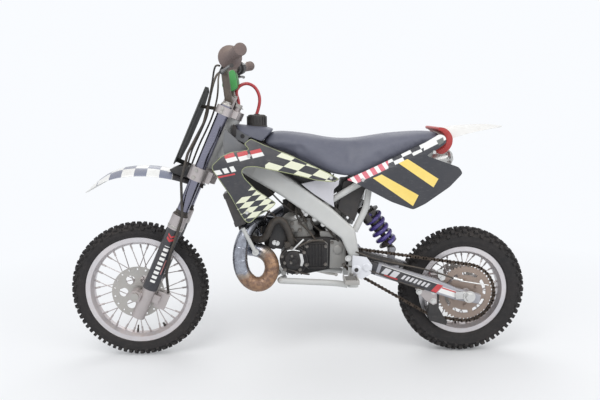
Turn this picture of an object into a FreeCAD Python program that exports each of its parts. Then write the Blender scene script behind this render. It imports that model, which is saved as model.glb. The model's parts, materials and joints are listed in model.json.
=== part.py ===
# Children's motocross bike, about 1.3 m long and 0.94 m high over the handlebar.
# Design frame: X forward from the rear axle, Y to the rider's left, Z up from the ground.
# Every piece is then shifted so that the row's origin lies on the seat under the rider.

import FreeCAD, Part
import math
import os

import Sketcher
from FreeCAD import Placement, Rotation, Vector

os.makedirs("parts", exist_ok=True)

# Driving sizes, in millimetres and degrees
driving_sizes = {
    # stance
    "wheelbase": 1017,
    "rider_x": 370,
    "seat_height": 680,
    "rake": 23.7,
    "fork_offset": 28,
    "axle_lead": 30,
    "fork_spacing": 150,
    # clearances
    "seat_gap": 0.2,
    "turn_clearance": 5.5,
    "axle_play": 0.1,
    # wheels
    "front_tyre_diameter": 427,
    "front_tyre_width": 60,
    "front_rim_diameter": 333,
    "front_rim_width": 46,
    "rear_tyre_diameter": 404,
    "rear_tyre_width": 70,
    "rear_rim_diameter": 282,
    "rear_rim_width": 50,
    "lug_height": 9,
    "rim_wall": 2.5,
    "rim_depth": 18,
    "spoke_diameter": 3.6,
    "hub_flange_diameter": 62,
    "hub_seat_diameter": 56,
    "hub_nose_diameter": 30,
    "axle_diameter": 12,
    "front_disc_diameter": 160,
    "rear_disc_diameter": 150,
    "disc_thickness": 3,
    "disc_plane": 44,
    # final drive
    "chain_pitch": 12.7,
    "rear_teeth": 45,
    "front_teeth": 17,
    "chain_plane": 52,
    "chain_width": 13,
    "chain_height": 11,
    "sprocket_thickness": 4,
    "front_sprocket_x": 352,
    "front_sprocket_z": 312,
    # fork and steering, along the steering axis from the axle's height
    "leg_diameter": 40,
    "stanchion_diameter": 35,
    "guard_wall": 2.5,
    "guard_low": 35,
    "guard_top": 235,
    "collar_top": 280,
    "leg_bottom": -62,
    "lower_clamp_low": 396,
    "lower_clamp_height": 40,
    "upper_clamp_low": 606,
    "upper_clamp_height": 24,
    "stem_diameter": 25,
    "head_diameter": 48,
    "bar_diameter": 22.2,
    "bar_ahead": 27,
    "bar_height": 648,
    "bar_half_width": 345,
    "bar_end_height": 784,
    "bar_bend_height": 748,
    "grip_diameter": 34,
    "grip_length": 116,
    "plate_height": 248,
    "plate_width": 176,
    "plate_wall": 3,
    # frame
    "spar_thickness": 26,
    "cradle_diameter": 24,
    "subframe_diameter": 20,
    "swingarm_thickness": 26,
    "swingarm_height": 42,
    "swingarm_plane": 80,
    "pivot_x": 312,
    "pivot_z": 298,
    "pivot_diameter": 14,
    # rear shock absorber
    "shock_top_x": 312,
    "shock_top_z": 476,
    "shock_low_x": 226,
    "shock_low_z": 334,
    "spring_diameter": 62,
    "spring_wire": 9,
    "spring_turns": 6,
    # bodywork
    "shroud_wall": 3.5,
    "panel_wall": 3.5,
    "cap_diameter": 60,
    "cap_height": 38,
    "tank_wing_plane": 106,
    "tank_wing_wall": 6,
    # engine
    "case_half_width": 58,
    "cover_diameter": 84,
    "cover_depth": 24,
    "barrel_diameter": 80,
    "head_block_diameter": 90,
    "radiator_width": 72,
    "radiator_height": 104,
    "radiator_depth": 34,
    # exhaust
    "silencer_diameter": 54,
    # footpegs
    "peg_length": 72,
    "peg_width": 46,
}

doc = FreeCAD.newDocument("dirt_bike")
sheet = doc.addObject("Spreadsheet::Sheet", "sizes")
for row, (alias, value) in enumerate(driving_sizes.items(), start=1):
    sheet.set(f"A{row}", alias)
    sheet.set(f"B{row}", str(value))
    sheet.setAlias(f"B{row}", alias)
doc.recompute()


class Length:
    """A number that remembers the sheet cells that it is worked out from."""

    def __init__(self, value, text):
        self.value = float(value)
        self.text = text

    def combine(self, other, sign, flipped=False):
        first, second = (other, self) if flipped else (self, other)
        left, right = number(first), number(second)
        results = {"+": left + right, "-": left - right, "*": left * right}
        value = left / right if sign == "/" else results[sign]
        return Length(value, f"({wording(first)} {sign} {wording(second)})")

    def __add__(self, other):
        return self.combine(other, "+")

    def __radd__(self, other):
        return self.combine(other, "+", True)

    def __sub__(self, other):
        return self.combine(other, "-")

    def __rsub__(self, other):
        return self.combine(other, "-", True)

    def __mul__(self, other):
        return self.combine(other, "*")

    def __rmul__(self, other):
        return self.combine(other, "*", True)

    def __truediv__(self, other):
        return self.combine(other, "/")

    def __neg__(self):
        return Length(-self.value, f"(-{self.text})")

    def __float__(self):
        return self.value


def number(item):
    return item.value if isinstance(item, Length) else float(item)


def wording(item):
    return item.text if isinstance(item, Length) else f"{float(item):.6f}"


def size(name):
    return Length(sheet.get(name), f"sizes.{name}")


def vec(x, y, z):
    return Vector(number(x), number(y), number(z))


# Derived places that several pieces share
rake = math.radians(number(size("rake")))
rake_cos = Length(math.cos(rake), "cos(sizes.rake * 1 deg)")
rake_sin = Length(math.sin(rake), "sin(sizes.rake * 1 deg)")
front_axle_offset = size("fork_offset") + size("axle_lead")
front_radius = size("front_tyre_diameter") / 2
rear_radius = size("rear_tyre_diameter") / 2
steer_x = size("wheelbase") - front_axle_offset * rake_cos
steer_z = front_radius - front_axle_offset * rake_sin
fork_side = size("fork_spacing") / 2


def bind_place(feature, x=0, y=0, z=0, turn_axis=None, turn=None):
    """Put a piece at a point of the design frame, in cells of the sheet."""
    if turn_axis is not None:
        feature.Placement = Placement(Vector(), Rotation(turn_axis, number(turn)))
        feature.setExpression("Placement.Rotation.Angle", f"{wording(turn)} * 1 deg")
    feature.setExpression("Placement.Base.x", wording(x - size("rider_x")))
    feature.setExpression("Placement.Base.y", wording(y))
    feature.setExpression("Placement.Base.z", wording(z - size("seat_height")))
    return feature


def bind_steering(feature):
    """Pieces of the steering are drawn upright round the steering axis, then raked."""
    return bind_place(feature, steer_x, 0, steer_z, Vector(0, 1, 0), -size("rake"))


def steering_shape(shape):
    """The same turn and shift for a bare shape, into the design frame."""
    moved = shape.copy()
    moved.Placement = Placement(
        vec(steer_x, 0, steer_z), Rotation(Vector(0, 1, 0), -number(size("rake")))
    ).multiply(moved.Placement)
    return moved


def from_steering(x, y, z):
    """A point given beside the steering axis, in the design frame."""
    return vec(
        steer_x + x * rake_cos - z * rake_sin, y, steer_z + x * rake_sin + z * rake_cos
    )


def piece(label, shape):
    feature = doc.addObject("Part::Feature", label)
    feature.Label = label
    placed = shape.Placement != Placement()
    feature.Shape = Part.Compound([shape]) if placed else shape
    return feature


# Shape helpers
def polygon(points):
    return Part.makePolygon([Vector(*p) for p in points] + [Vector(*points[0])])


def rounded_path(points, bend):
    """Straight runs joined by tangent arcs; bend is one radius or one for each corner."""
    points = [Vector(*p) for p in points]
    corners = len(points) - 2
    bends = list(bend) if isinstance(bend, (list, tuple)) else [bend] * corners
    edges = []
    start = points[0]
    for corner, radius in zip(range(1, len(points) - 1), bends):
        here = points[corner]
        back = (points[corner - 1] - here).normalize()
        ahead = (points[corner + 1] - here).normalize()
        half = back.getAngle(ahead) / 2
        if math.pi - 2 * half < 1e-4:
            continue
        room = radius / math.tan(half)
        enter = here + back * room
        leave = here + ahead * room
        middle_way = (back + ahead).normalize()
        middle = here + middle_way * (radius / math.sin(half) - radius)
        if (enter - start).Length > 1e-6:
            edges.append(Part.LineSegment(start, enter).toShape())
        edges.append(Part.Arc(enter, middle, leave).toShape())
        start = leave
    edges.append(Part.LineSegment(start, points[-1]).toShape())
    return Part.Wire(edges)


def tube(points, diameter, bend, wall=None):
    """A round bar or tube along a path of runs and arcs."""
    path = rounded_path(points, bend)
    first = Vector(*points[0])
    way = Vector(*points[1]) - first

    def sweep(radius):
        circle = Part.Wire(Part.Circle(first, way, radius).toShape())
        return Part.Wire(path.Edges).makePipeShell([circle], True, False)

    outer = sweep(number(diameter) / 2)
    if wall is None:
        return outer
    return outer.cut(sweep(number(diameter) / 2 - number(wall)))


def rounded_rectangle(centre, along, side, width, height, corner):
    """Section wire across the way along; width is measured towards side."""
    along = Vector(along).normalize()
    side = (Vector(side) - along * Vector(side).dot(along)).normalize()
    up = along.cross(side)
    corner = min(corner, width / 2 - 0.1, height / 2 - 0.1)

    def at(u, v):
        return Vector(centre) + side * u + up * v

    edges = []
    half_w, half_h = width / 2, height / 2
    diagonal = corner * (1 - math.sqrt(0.5))
    quadrants = ((1, 1), (-1, 1), (-1, -1), (1, -1))
    for index, (su, sv) in enumerate(quadrants):
        on_side = at(su * half_w, sv * (half_h - corner))
        on_top = at(su * (half_w - corner), sv * half_h)
        middle = at(su * (half_w - diagonal), sv * (half_h - diagonal))
        first, last = (on_side, on_top) if su * sv > 0 else (on_top, on_side)
        edges.append(Part.Arc(first, middle, last).toShape())
        nu, nv = quadrants[(index + 1) % 4]
        if nu * nv > 0:
            following = at(nu * half_w, nv * (half_h - corner))
        else:
            following = at(nu * (half_w - corner), nv * half_h)
        edges.append(Part.LineSegment(last, following).toShape())
    return Part.Wire(edges)


def lofted(sections):
    return Part.makeLoft(sections, True, True)


def cone_run(stations):
    """Round pipe of welded cones; columns: x, y, z, radius."""
    centres = [Vector(*row[:3]) for row in stations]
    wires = []
    for index, (centre, row) in enumerate(zip(centres, stations)):
        before = centres[max(index - 1, 0)]
        after = centres[min(index + 1, len(centres) - 1)]
        way = (after - centre).normalize() if index == 0 else (centre - before).normalize()
        if 0 < index < len(centres) - 1:
            way = (way + (after - centre).normalize()).normalize()
        wires.append(Part.Wire(Part.Circle(centre, way, number(row[3])).toShape()))
    return Part.makeLoft(wires, True, True)


def cylinder(start, way, radius, length):
    return Part.makeCylinder(number(radius), number(length), Vector(*start), Vector(*way))


def across(x, z, radius, low, high):
    """A cylinder along Y between two planes."""
    return cylinder((x, low, z), (0, 1, 0), radius, high - low)


def block(low, high):
    spans = [h - l for l, h in zip(low, high)]
    return Part.makeBox(*spans, Vector(*low))


def side_plate(outline, low, high):
    """A side view outline of (x, z) points, as thick as low to high along Y."""
    face = Part.Face(polygon([(x, low, z) for x, z in outline]))
    return face.extrude(Vector(0, high - low, 0))


def mirrored(shape):
    return shape.mirror(Vector(0, 0, 0), Vector(0, 1, 0))


def pair(shape):
    return Part.Compound([shape, mirrored(shape)])


def joined(shapes):
    shapes = list(shapes)
    return shapes[0].multiFuse(shapes[1:]).removeSplitter()


def minus(shape, tools):
    for tool in tools:
        shape = shape.cut(tool)
    return shape


# PartDesign helpers
def origin_plane(body, role):
    return next(item for item in body.Origin.OriginFeatures if item.Role == role)


def outline_sketch(body, name, role, points):
    """A closed outline whose corners are dimensioned from the origin."""
    sketch = body.newObject("Sketcher::SketchObject", name)
    sketch.AttachmentSupport = [(origin_plane(body, role), "")]
    sketch.MapMode = "FlatFace"
    add_outline(sketch, points)
    return sketch


def add_outline(sketch, points):
    count = len(points)
    first = sketch.GeometryCount
    values = [Vector(number(x), number(y), 0) for x, y in points]
    lines = [Part.LineSegment(values[i], values[(i + 1) % count]) for i in range(count)]
    sketch.addGeometry(lines, False)
    rules = []
    for i in range(count):
        following = first + (i + 1) % count
        rules.append(Sketcher.Constraint("Coincident", first + i, 2, following, 1))
    sketch.addConstraint(rules)
    for i, (x, y) in enumerate(points):
        for kind, item in (("DistanceX", x), ("DistanceY", y)):
            index = sketch.addConstraint(
                Sketcher.Constraint(kind, -1, 1, first + i, 1, number(item))
            )
            if isinstance(item, Length):
                sketch.setExpression(f"Constraints[{index}]", item.text)


def turned_body(label, profile):
    """A Body turned about Y from (radius, y) corners."""
    body = doc.addObject("PartDesign::Body", label)
    body.Label = label
    sketch = outline_sketch(body, f"{label}_profile", "XY_Plane", profile)
    turn = body.newObject("PartDesign::Revolution", f"{label}_turn")
    turn.Profile = sketch
    turn.ReferenceAxis = (sketch, ["V_Axis"])
    turn.Angle = 360
    return body


def add_circle(sketch, x, y, radius):
    index = sketch.addGeometry(
        Part.Circle(Vector(number(x), number(y), 0), Vector(0, 0, 1), number(radius))
    )
    for kind, item in (("DistanceX", x), ("DistanceY", y)):
        rule = sketch.addConstraint(Sketcher.Constraint(kind, -1, 1, index, 3, number(item)))
        if isinstance(item, Length):
            sketch.setExpression(f"Constraints[{rule}]", item.text)
    rule = sketch.addConstraint(Sketcher.Constraint("Radius", index, number(radius)))
    if isinstance(radius, Length):
        sketch.setExpression(f"Constraints[{rule}]", radius.text)


def padded_body(label, role, outline, depth, circles=()):
    """A Body padded both ways from an origin plane, with round holes through it."""
    body = doc.addObject("PartDesign::Body", label)
    body.Label = label
    sketch = outline_sketch(body, f"{label}_outline", role, outline)
    for x, y, radius in circles:
        add_circle(sketch, x, y, radius)
    pad = body.newObject("PartDesign::Pad", f"{label}_pad")
    pad.Profile = sketch
    pad.setExpression("Length", wording(depth))
    pad.Midplane = True
    return body


nodes = []


def keep(feature):
    nodes.append(feature)
    return feature


# Wheels
# columns: end, lug steps, centre lug (along, across), shoulder lug (along, across), hub reach
wheel_table = (
    ("front", 28, (15, 13), (14, 12), 52),
    ("rear", 24, (17, 16), (16, 14), 60),
)
spoke_count = 28


def tyre_shape(end, steps, centre_lug, shoulder_lug):
    radius = number(size(f"{end}_tyre_diameter")) / 2
    half = number(size(f"{end}_tyre_width")) / 2
    rim = number(size(f"{end}_rim_diameter")) / 2
    seat = number(size(f"{end}_rim_width")) / 2 - 2 * number(size("rim_wall")) + 1
    lug = number(size("lug_height"))
    crown = radius - lug
    bead = rim - 11.5
    height = crown - rim

    def at(r, y):
        return Vector(r, y, 0)

    edge_r, edge_y = crown - 0.16 * height, 0.72 * half
    wide_r = rim + 0.45 * height
    edges = [
        Part.LineSegment(at(bead, seat), at(bead, -seat)),
        Part.LineSegment(at(bead, -seat), at(rim + 0.5, -seat)),
        Part.Arc(at(rim + 0.5, -seat), at(wide_r, -half + 1), at(edge_r, -edge_y)),
        Part.Arc(at(edge_r, -edge_y), at(crown, 0), at(edge_r, edge_y)),
        Part.Arc(at(edge_r, edge_y), at(wide_r, half - 1), at(rim + 0.5, seat)),
        Part.LineSegment(at(rim + 0.5, seat), at(bead, seat)),
    ]
    face = Part.Face(Part.Wire([edge.toShape() for edge in edges]))
    carcass = face.revolve(Vector(), Vector(0, 1, 0), 360)
    lugs = []
    step = 360 / steps
    # columns: share of a step, place across, tilt, length along, width across, tip radius
    rows = (
        (0.0, 0.27 * half, 9, *centre_lug, radius - 0.4),
        (0.0, -0.27 * half, -9, *centre_lug, radius - 0.4),
        (0.5, 0.76 * half, 42, *shoulder_lug, crown - 1.5),
        (0.5, -0.76 * half, -42, *shoulder_lug, crown - 1.5),
    )
    for share, place, tilt, along, width, tip in rows:
        knob = Part.makeBox(along, width, lug + 6, Vector(-along / 2, -width / 2, -lug - 6))
        knob.rotate(Vector(), Vector(1, 0, 0), -tilt)
        knob.translate(Vector(0, place, tip))
        for count in range(steps):
            copy = knob.copy()
            copy.rotate(Vector(), Vector(0, 1, 0), (count + share) * step)
            lugs.append(copy)
    return carcass.multiFuse(lugs)


def spokes_shape(end, flange_y):
    rim = number(size(f"{end}_rim_diameter")) / 2 - number(size("rim_depth"))
    rim -= 2.2 * number(size("rim_wall"))
    rim -= number(size("seat_gap"))
    flange = number(size("hub_flange_diameter")) / 2 - 4
    radius = number(size("spoke_diameter")) / 2
    spokes = []
    for count in range(spoke_count):
        side = 1 if count % 2 else -1
        lean = 1 if (count // 2) % 2 else -1
        turn = 360 / spoke_count * count
        low = Rotation(Vector(0, 1, 0), turn + lean * 62).multVec(Vector(0, 0, flange))
        low.y = side * (flange_y + lean * 2.2)
        high = Rotation(Vector(0, 1, 0), turn).multVec(Vector(0, 0, rim))
        high.y = side * 4
        way = (high - low).normalize()
        spokes.append(Part.makeCylinder(radius, (high - low).Length, low, way))
    return spokes


for end, steps, centre_lug, shoulder_lug, hub_reach in wheel_table:
    axle_x = size("wheelbase") if end == "front" else 0
    axle_z = front_radius if end == "front" else rear_radius
    tyre = piece(f"{end}_tyre", tyre_shape(end, steps, centre_lug, shoulder_lug))
    keep(bind_place(tyre, axle_x, 0, axle_z))

    flange = size(f"{end}_rim_diameter") / 2
    half_rim = size(f"{end}_rim_width") / 2
    wall = size("rim_wall")
    depth = size("rim_depth")
    rim_profile = (
        (flange, -half_rim),
        (flange, wall - half_rim),
        (flange - 12, wall - half_rim + 0.6),
        (flange - depth, 12 - half_rim + wall),
        (flange - depth, half_rim - 12 - wall),
        (flange - 12, half_rim - wall - 0.6),
        (flange, half_rim - wall),
        (flange, half_rim),
        (flange - 12 - wall, half_rim),
        (flange - depth - wall * 2, half_rim - 13),
        (flange - depth - wall * 2, 13 - half_rim),
        (flange - 12 - wall, -half_rim),
    )
    rim_body = turned_body(f"{end}_rim", rim_profile)
    keep(bind_place(rim_body, axle_x, 0, axle_z))

    bore = number(size("axle_diameter")) / 2 + number(size("axle_play"))
    hub_flange = number(size("hub_flange_diameter")) / 2
    hub_nose = number(size("hub_nose_diameter")) / 2
    hub_seat = number(size("hub_seat_diameter")) / 2
    seat_plane = number(size("disc_plane")) - number(size("disc_thickness")) / 2
    if end == "rear":
        seat_plane = number(size("chain_plane")) - number(size("sprocket_thickness")) / 2
    flange_y = seat_plane - 16
    core = [
        across(0, 0, hub_nose, -hub_reach, hub_reach),
        across(0, 0, 21, -flange_y, flange_y),
        across(0, 0, hub_flange, flange_y - 2, flange_y + 2),
        across(0, 0, hub_flange, -flange_y - 2, -flange_y + 2),
        across(0, 0, hub_seat, flange_y, seat_plane),
        across(0, 0, hub_seat, -seat_plane, -flange_y),
    ]
    hub = joined(core + spokes_shape(end, flange_y))
    hub = hub.cut(across(0, 0, bore, -hub_reach - 1, hub_reach + 1))
    keep(bind_place(piece(f"{end}_hub", hub), axle_x, 0, axle_z))


def ring_of_holes(body, name, reach, radius, count, turn=0):
    """Pocket a round hole through a turned Body and repeat it about its axis."""
    sketch = body.newObject("Sketcher::SketchObject", f"{name}_circle")
    sketch.AttachmentSupport = [(origin_plane(body, "XZ_Plane"), "")]
    sketch.MapMode = "FlatFace"
    angle = math.radians(turn)
    add_circle(sketch, reach * math.cos(angle), reach * math.sin(angle), radius)
    pocket = body.newObject("PartDesign::Pocket", f"{name}_pocket")
    pocket.Profile = sketch
    pocket.Type = "ThroughAll"
    pocket.Midplane = True
    ring = body.newObject("PartDesign::PolarPattern", f"{name}_ring")
    ring.Originals = [pocket]
    ring.Axis = (origin_plane(body, "Y_Axis"), [""])
    ring.Angle = 360
    ring.Occurrences = count
    body.Tip = ring
    return ring


def brake_disc(label, diameter, plane, axle_x, axle_z, window_count):
    """Brake disc with round windows between its arms and a ring of small holes."""
    outer = diameter / 2
    bore = size("hub_nose_diameter") / 2 + size("seat_gap")
    half = size("disc_thickness") / 2
    body = turned_body(label, ((bore, plane - half), (outer, plane - half),
                               (outer, plane + half), (bore, plane + half)))
    inner = size("hub_seat_diameter") / 2
    window = (outer - 24 - inner) / 2
    ring_of_holes(body, f"{label}_windows", (outer - 20 + inner) / 2, window, window_count)
    ring_of_holes(body, f"{label}_holes", outer - 8, 3, window_count * 3, 10)
    keep(bind_place(body, axle_x, 0, axle_z))


disc_plane = number(size("disc_plane"))
rear_disc_plane = -number(size("chain_plane"))
brake_disc("front_disc", size("front_disc_diameter"), size("disc_plane"),
           size("wheelbase"), front_radius, 6)
brake_disc("rear_disc", size("rear_disc_diameter"), -size("chain_plane"), 0, rear_radius, 6)

# Final drive: toothed wheels and the chain's loop in one plane
gap = number(size("seat_gap"))
pitch = number(size("chain_pitch"))
chain_plane = number(size("chain_plane"))


def pitch_radius(teeth):
    return pitch / 2 / math.sin(math.pi / number(teeth))


def toothed_wheel(teeth, thickness, centre_hole, slot_count=0):
    """Sprocket whose tooth tips stay inside the chain's rollers."""
    teeth = int(round(number(teeth)))
    tip = pitch_radius(teeth) - 2.6
    root = tip - 5
    corners = []
    for count in range(teeth):
        for share, radius in ((-0.28, root), (-0.1, tip), (0.1, tip), (0.28, root)):
            angle = 2 * math.pi * (count + share) / teeth
            corners.append((radius * math.sin(angle), radius * math.cos(angle)))
    low = chain_plane - thickness / 2
    shape = side_plate(corners, low, low + thickness)
    tools = [across(0, 0, centre_hole, low - 1, low + thickness + 1)]
    for count in range(slot_count):
        middle = (root + 32) / 2
        window = across(0, middle, (root - 8 - 34) / 2, low - 1, low + thickness + 1)
        window.rotate(Vector(), Vector(0, 1, 0), 360 / slot_count * count)
        tools.append(window)
    return minus(shape, tools)


hub_hole = number(size("hub_nose_diameter")) / 2 + gap
sprocket = toothed_wheel(size("rear_teeth"), number(size("sprocket_thickness")), hub_hole, 6)
keep(bind_place(piece("rear_sprocket", sprocket), 0, 0, rear_radius))
front_x, front_z = size("front_sprocket_x"), size("front_sprocket_z")
drive = toothed_wheel(size("front_teeth"), number(size("sprocket_thickness")), 9)
keep(bind_place(piece("front_sprocket", drive), front_x, 0, front_z))


def offset_loop(spread):
    """Chain path round both wheels and through the guide, moved outward by spread."""
    big = pitch_radius(size("rear_teeth")) + spread
    small = pitch_radius(size("front_teeth")) + spread
    rear = Vector(0, 0, number(rear_radius))
    front = Vector(number(front_x), 0, number(front_z))
    line = (front - rear).normalize()
    up = Vector(-line.z, 0, line.x)
    tilt = math.acos((big - small) / (front - rear).Length)
    way = line * math.cos(tilt) + up * math.sin(tilt)
    top_rear, top_front = rear + way * big, front + way * small
    nose = front + line * small
    tail = rear - line * big
    # the slack lower run bends over the guide
    dip = Vector(104, 0, 128) + Vector(-0.35, 0, -0.94) * spread
    low_way = (dip - front)
    angle = math.asin(small / low_way.Length)
    low_way.normalize()
    touch = Rotation(Vector(0, 1, 0), math.degrees(angle) - 90).multVec(low_way) * -small
    low_front = front - touch if (front - touch).z < front.z else front + touch
    rear_way = dip - rear
    rear_angle = math.acos(big / rear_way.Length)
    rear_way.normalize()
    options = [
        rear + Rotation(Vector(0, 1, 0), math.degrees(turn)).multVec(rear_way) * big
        for turn in (rear_angle, -rear_angle)
    ]
    low_rear = min(options, key=lambda point: point.z)
    edges = [
        Part.LineSegment(top_rear, top_front).toShape(),
        Part.Arc(top_front, nose, low_front).toShape(),
        Part.LineSegment(low_front, dip).toShape(),
        Part.LineSegment(dip, low_rear).toShape(),
        Part.Arc(low_rear, tail, top_rear).toShape(),
    ]
    return Part.Wire(edges)


def loop_band(inner, outer, low, high):
    outside = Part.Face(offset_loop(outer)).extrude(Vector(0, high - low, 0))
    inside = Part.Face(offset_loop(inner)).extrude(Vector(0, high - low, 0))
    band = outside.cut(inside)
    band.translate(Vector(0, low, 0))
    return band


half_chain = number(size("chain_width")) / 2
half_link = number(size("chain_height")) / 2
chain = joined([
    loop_band(-2.0, 2.6, chain_plane - half_chain + 1, chain_plane + half_chain - 1),
    loop_band(-half_link, half_link, chain_plane + half_chain - 2.4, chain_plane + half_chain),
    loop_band(-half_link, half_link, chain_plane - half_chain, chain_plane - half_chain + 2.4),
])
keep(bind_place(piece("chain", chain)))

# Fork, clamps and steering stem, drawn upright round the steering axis
leg_radius = number(size("leg_diameter")) / 2
tube_radius = number(size("stanchion_diameter")) / 2
offset = number(size("fork_offset"))
side = number(fork_side)
lead_x = number(front_axle_offset)
guard_low, guard_top = number(size("guard_low")), number(size("guard_top"))
collar_top = number(size("collar_top"))
leg_bottom = number(size("leg_bottom"))
up = (0, 0, 1)
guard_radius = leg_radius + number(size("guard_wall"))
axle_radius = number(size("axle_diameter")) / 2
upper_low = number(size("upper_clamp_low"))
upper_high = upper_low + number(size("upper_clamp_height"))
lower_low = number(size("lower_clamp_low"))
lower_high = lower_low + number(size("lower_clamp_height"))

leg = cylinder((offset, side, leg_bottom), up, leg_radius, guard_top - leg_bottom)
collar = cylinder((offset, side, guard_top), up, leg_radius + 4, collar_top - guard_top)
lug = cylinder((lead_x, side - 21, 0), (0, 1, 0), 17, 40)
web = block((offset, side - 15, -16), (lead_x, side + 15, 16))
lower = joined([leg, collar, lug, web])
lower = minus(lower, [
    cylinder((offset, side, guard_top + 2), up, tube_radius + gap, collar_top),
    cylinder((lead_x, side - 40, 0), (0, 1, 0), axle_radius + gap / 2, 80),
])
keep(bind_steering(piece("fork_lowers", pair(lower))))
stanchion = cylinder((offset, side, guard_top + 2 + gap), up, tube_radius,
                     upper_high + 4 - guard_top - 2 - gap)
keep(bind_steering(piece("fork_tubes", pair(stanchion))))
guard = cylinder((offset, side, guard_low), up, guard_radius, guard_top - guard_low - gap)
guard = guard.cut(cylinder((offset, side, 0), up, leg_radius + gap, collar_top))
keep(bind_steering(piece("fork_guards", pair(guard))))
axle = cylinder((lead_x, -side - 26, 0), (0, 1, 0), axle_radius, 2 * side + 52)
nuts = [cylinder((lead_x, side + 19 + gap, 0), (0, 1, 0), 12, 8),
        cylinder((lead_x, -side - 19 - gap, 0), (0, -1, 0), 12, 8)]
keep(bind_steering(piece("front_axle", joined([axle] + nuts))))

stem_radius = number(size("stem_diameter")) / 2


def clamp_shape(low, height, ring):
    web_half = height / 2 - 2
    parts = [
        cylinder((offset, side, low), up, ring, height),
        cylinder((offset, -side, low), up, ring, height),
        cylinder((0, 0, low), up, 27, height),
        block((-13, -side, low + height / 2 - web_half),
              (offset + 16, side, low + height / 2 + web_half)),
    ]
    bores = [cylinder((offset, at, low - 1), up, tube_radius + gap, height + 2)
             for at in (side, -side)]
    return minus(joined(parts), bores)


stem_top = upper_high + 12
lower_clamp = joined([
    clamp_shape(lower_low, lower_high - lower_low, tube_radius + 10),
    cylinder((0, 0, lower_high), up, stem_radius, stem_top - lower_high),
])
lower_clamp = lower_clamp.cut(cylinder((0, 0, upper_high - 30), up, 6.5, 60))
keep(bind_steering(piece("lower_clamp", lower_clamp)))
bar_x, bar_z = number(size("bar_ahead")), number(size("bar_height"))
bar_radius = number(size("bar_diameter")) / 2
upper_clamp = clamp_shape(upper_low, upper_high - upper_low, tube_radius + 8)
risers = [block((bar_x - 17, at - 11, upper_high - 2), (bar_x + 17, at + 11, bar_z + 17))
          for at in (32, -32)]
upper_clamp = joined([upper_clamp] + risers)
upper_clamp = minus(upper_clamp, [
    cylinder((0, 0, upper_low - 1), up, stem_radius + gap, 60),
    cylinder((bar_x, -60, bar_z), (0, 1, 0), bar_radius + gap, 120),
])
keep(bind_steering(piece("upper_clamp", upper_clamp)))

# Handlebar; columns of the left half's path: x, y, z beside the steering axis
bar_end_y = number(size("bar_half_width"))
bend_z, end_z = number(size("bar_bend_height")), number(size("bar_end_height"))
bar_rows = (
    (bar_x, 0, bar_z),
    (bar_x, 72, bar_z),
    (bar_x + 40, 118, bend_z - 26),
    (bar_x + 42, 190, bend_z),
    (bar_x + 6, bar_end_y, end_z),
)
bar_points = [(x, -y, z) for x, y, z in reversed(bar_rows[1:])] + list(bar_rows)
bar_points.remove(bar_rows[0])
bar_bends = (90, 40, 42, 42, 40, 90)
bar = tube(bar_points, 2 * bar_radius, bar_bends)
cross = cylinder((bar_x + 24, -88, bar_z + 42), (0, 1, 0), 6, 176)
keep(bind_steering(piece("handlebar", joined([bar, cross]))))

grip_radius = number(size("grip_diameter")) / 2
grip_length = number(size("grip_length"))
end_point = Vector(*bar_rows[-1])
grip_way = (Vector(*bar_rows[-2]) - end_point).normalize()
grip = joined([
    cylinder(end_point + grip_way * -3, grip_way, grip_radius, grip_length),
    cylinder(end_point + grip_way * -3, grip_way, grip_radius + 3, 7),
    cylinder(end_point + grip_way * (grip_length - 6), grip_way, 33, 5),
])
grip = grip.cut(cylinder(end_point, grip_way, bar_radius + gap, 200))
keep(bind_steering(piece("grips", pair(grip))))

perch_at = end_point + grip_way * (grip_length + 16)
perch = cylinder(perch_at, grip_way, 17, 22)
lever_ahead = grip_way.cross(Vector(0, 0, 1)).normalize()
if lever_ahead.x < 0:
    lever_ahead = lever_ahead * -1
lever_start = perch_at + lever_ahead * 34 + grip_way * 11
perch_arm = cylinder(perch_at + grip_way * 11, lever_ahead, 8, 40)
lever = cone_run([
    (*lever_start, 6),
    (*(lever_start + lever_ahead * 8 - grip_way * 40), 5.5),
    (*(lever_start + lever_ahead * 4 - grip_way * 90), 5),
    (*(lever_start + lever_ahead * 12 - grip_way * 128), 6),
])
perch = joined([perch, perch_arm, lever])
perch = perch.cut(cylinder(end_point, grip_way, bar_radius + gap, 260))
keep(bind_steering(piece("levers", pair(perch))))

pad_outline = ((-22, -20), (22, -20), (26, -8), (6, 26), (-8, 26), (-26, -8))
pad_body = padded_body("bar_pad", "XZ_Plane", pad_outline, 150,
                       [(0, -2, size("bar_diameter") / 2 - 4.5)])
keep(pad_body)
bind_place(pad_body, steer_x + (bar_x + 24) * rake_cos - (bar_z + 44) * rake_sin, 0,
           steer_z + (bar_x + 24) * rake_sin + (bar_z + 44) * rake_cos,
           Vector(0, 1, 0), -size("rake"))

# Number plate ahead of the fork: centre panel with two swept wings
plate_half = number(size("plate_width")) / 2
plate_low = 412
plate_top = plate_low + number(size("plate_height"))
plate_wall = number(size("plate_wall"))
plate_ahead, wing_ahead = 110, 102
plan = ((plate_ahead, 0), (plate_ahead, 40), (wing_ahead, plate_half),
        (wing_ahead - plate_wall, plate_half), (plate_ahead - plate_wall, 39),
        (plate_ahead - plate_wall, 0), (plate_ahead - plate_wall, -39),
        (wing_ahead - plate_wall, -plate_half), (wing_ahead, -plate_half),
        (plate_ahead, -40))
plan_face = Part.Face(polygon([(x, y, plate_low) for x, y in plan]))
plate = plan_face.extrude(Vector(0, 0, plate_top - plate_low))
front_view = ((-58, plate_low), (58, plate_low), (plate_half - 6, plate_low + 60),
              (plate_half, plate_top - 70), (plate_half - 22, plate_top - 12),
              (40, plate_top), (-40, plate_top), (22 - plate_half, plate_top - 12),
              (-plate_half, plate_top - 70), (6 - plate_half, plate_low + 60))
view_face = Part.Face(polygon([(60, y, z) for y, z in front_view]))
plate = plate.common(view_face.extrude(Vector(80, 0, 0)))
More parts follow.
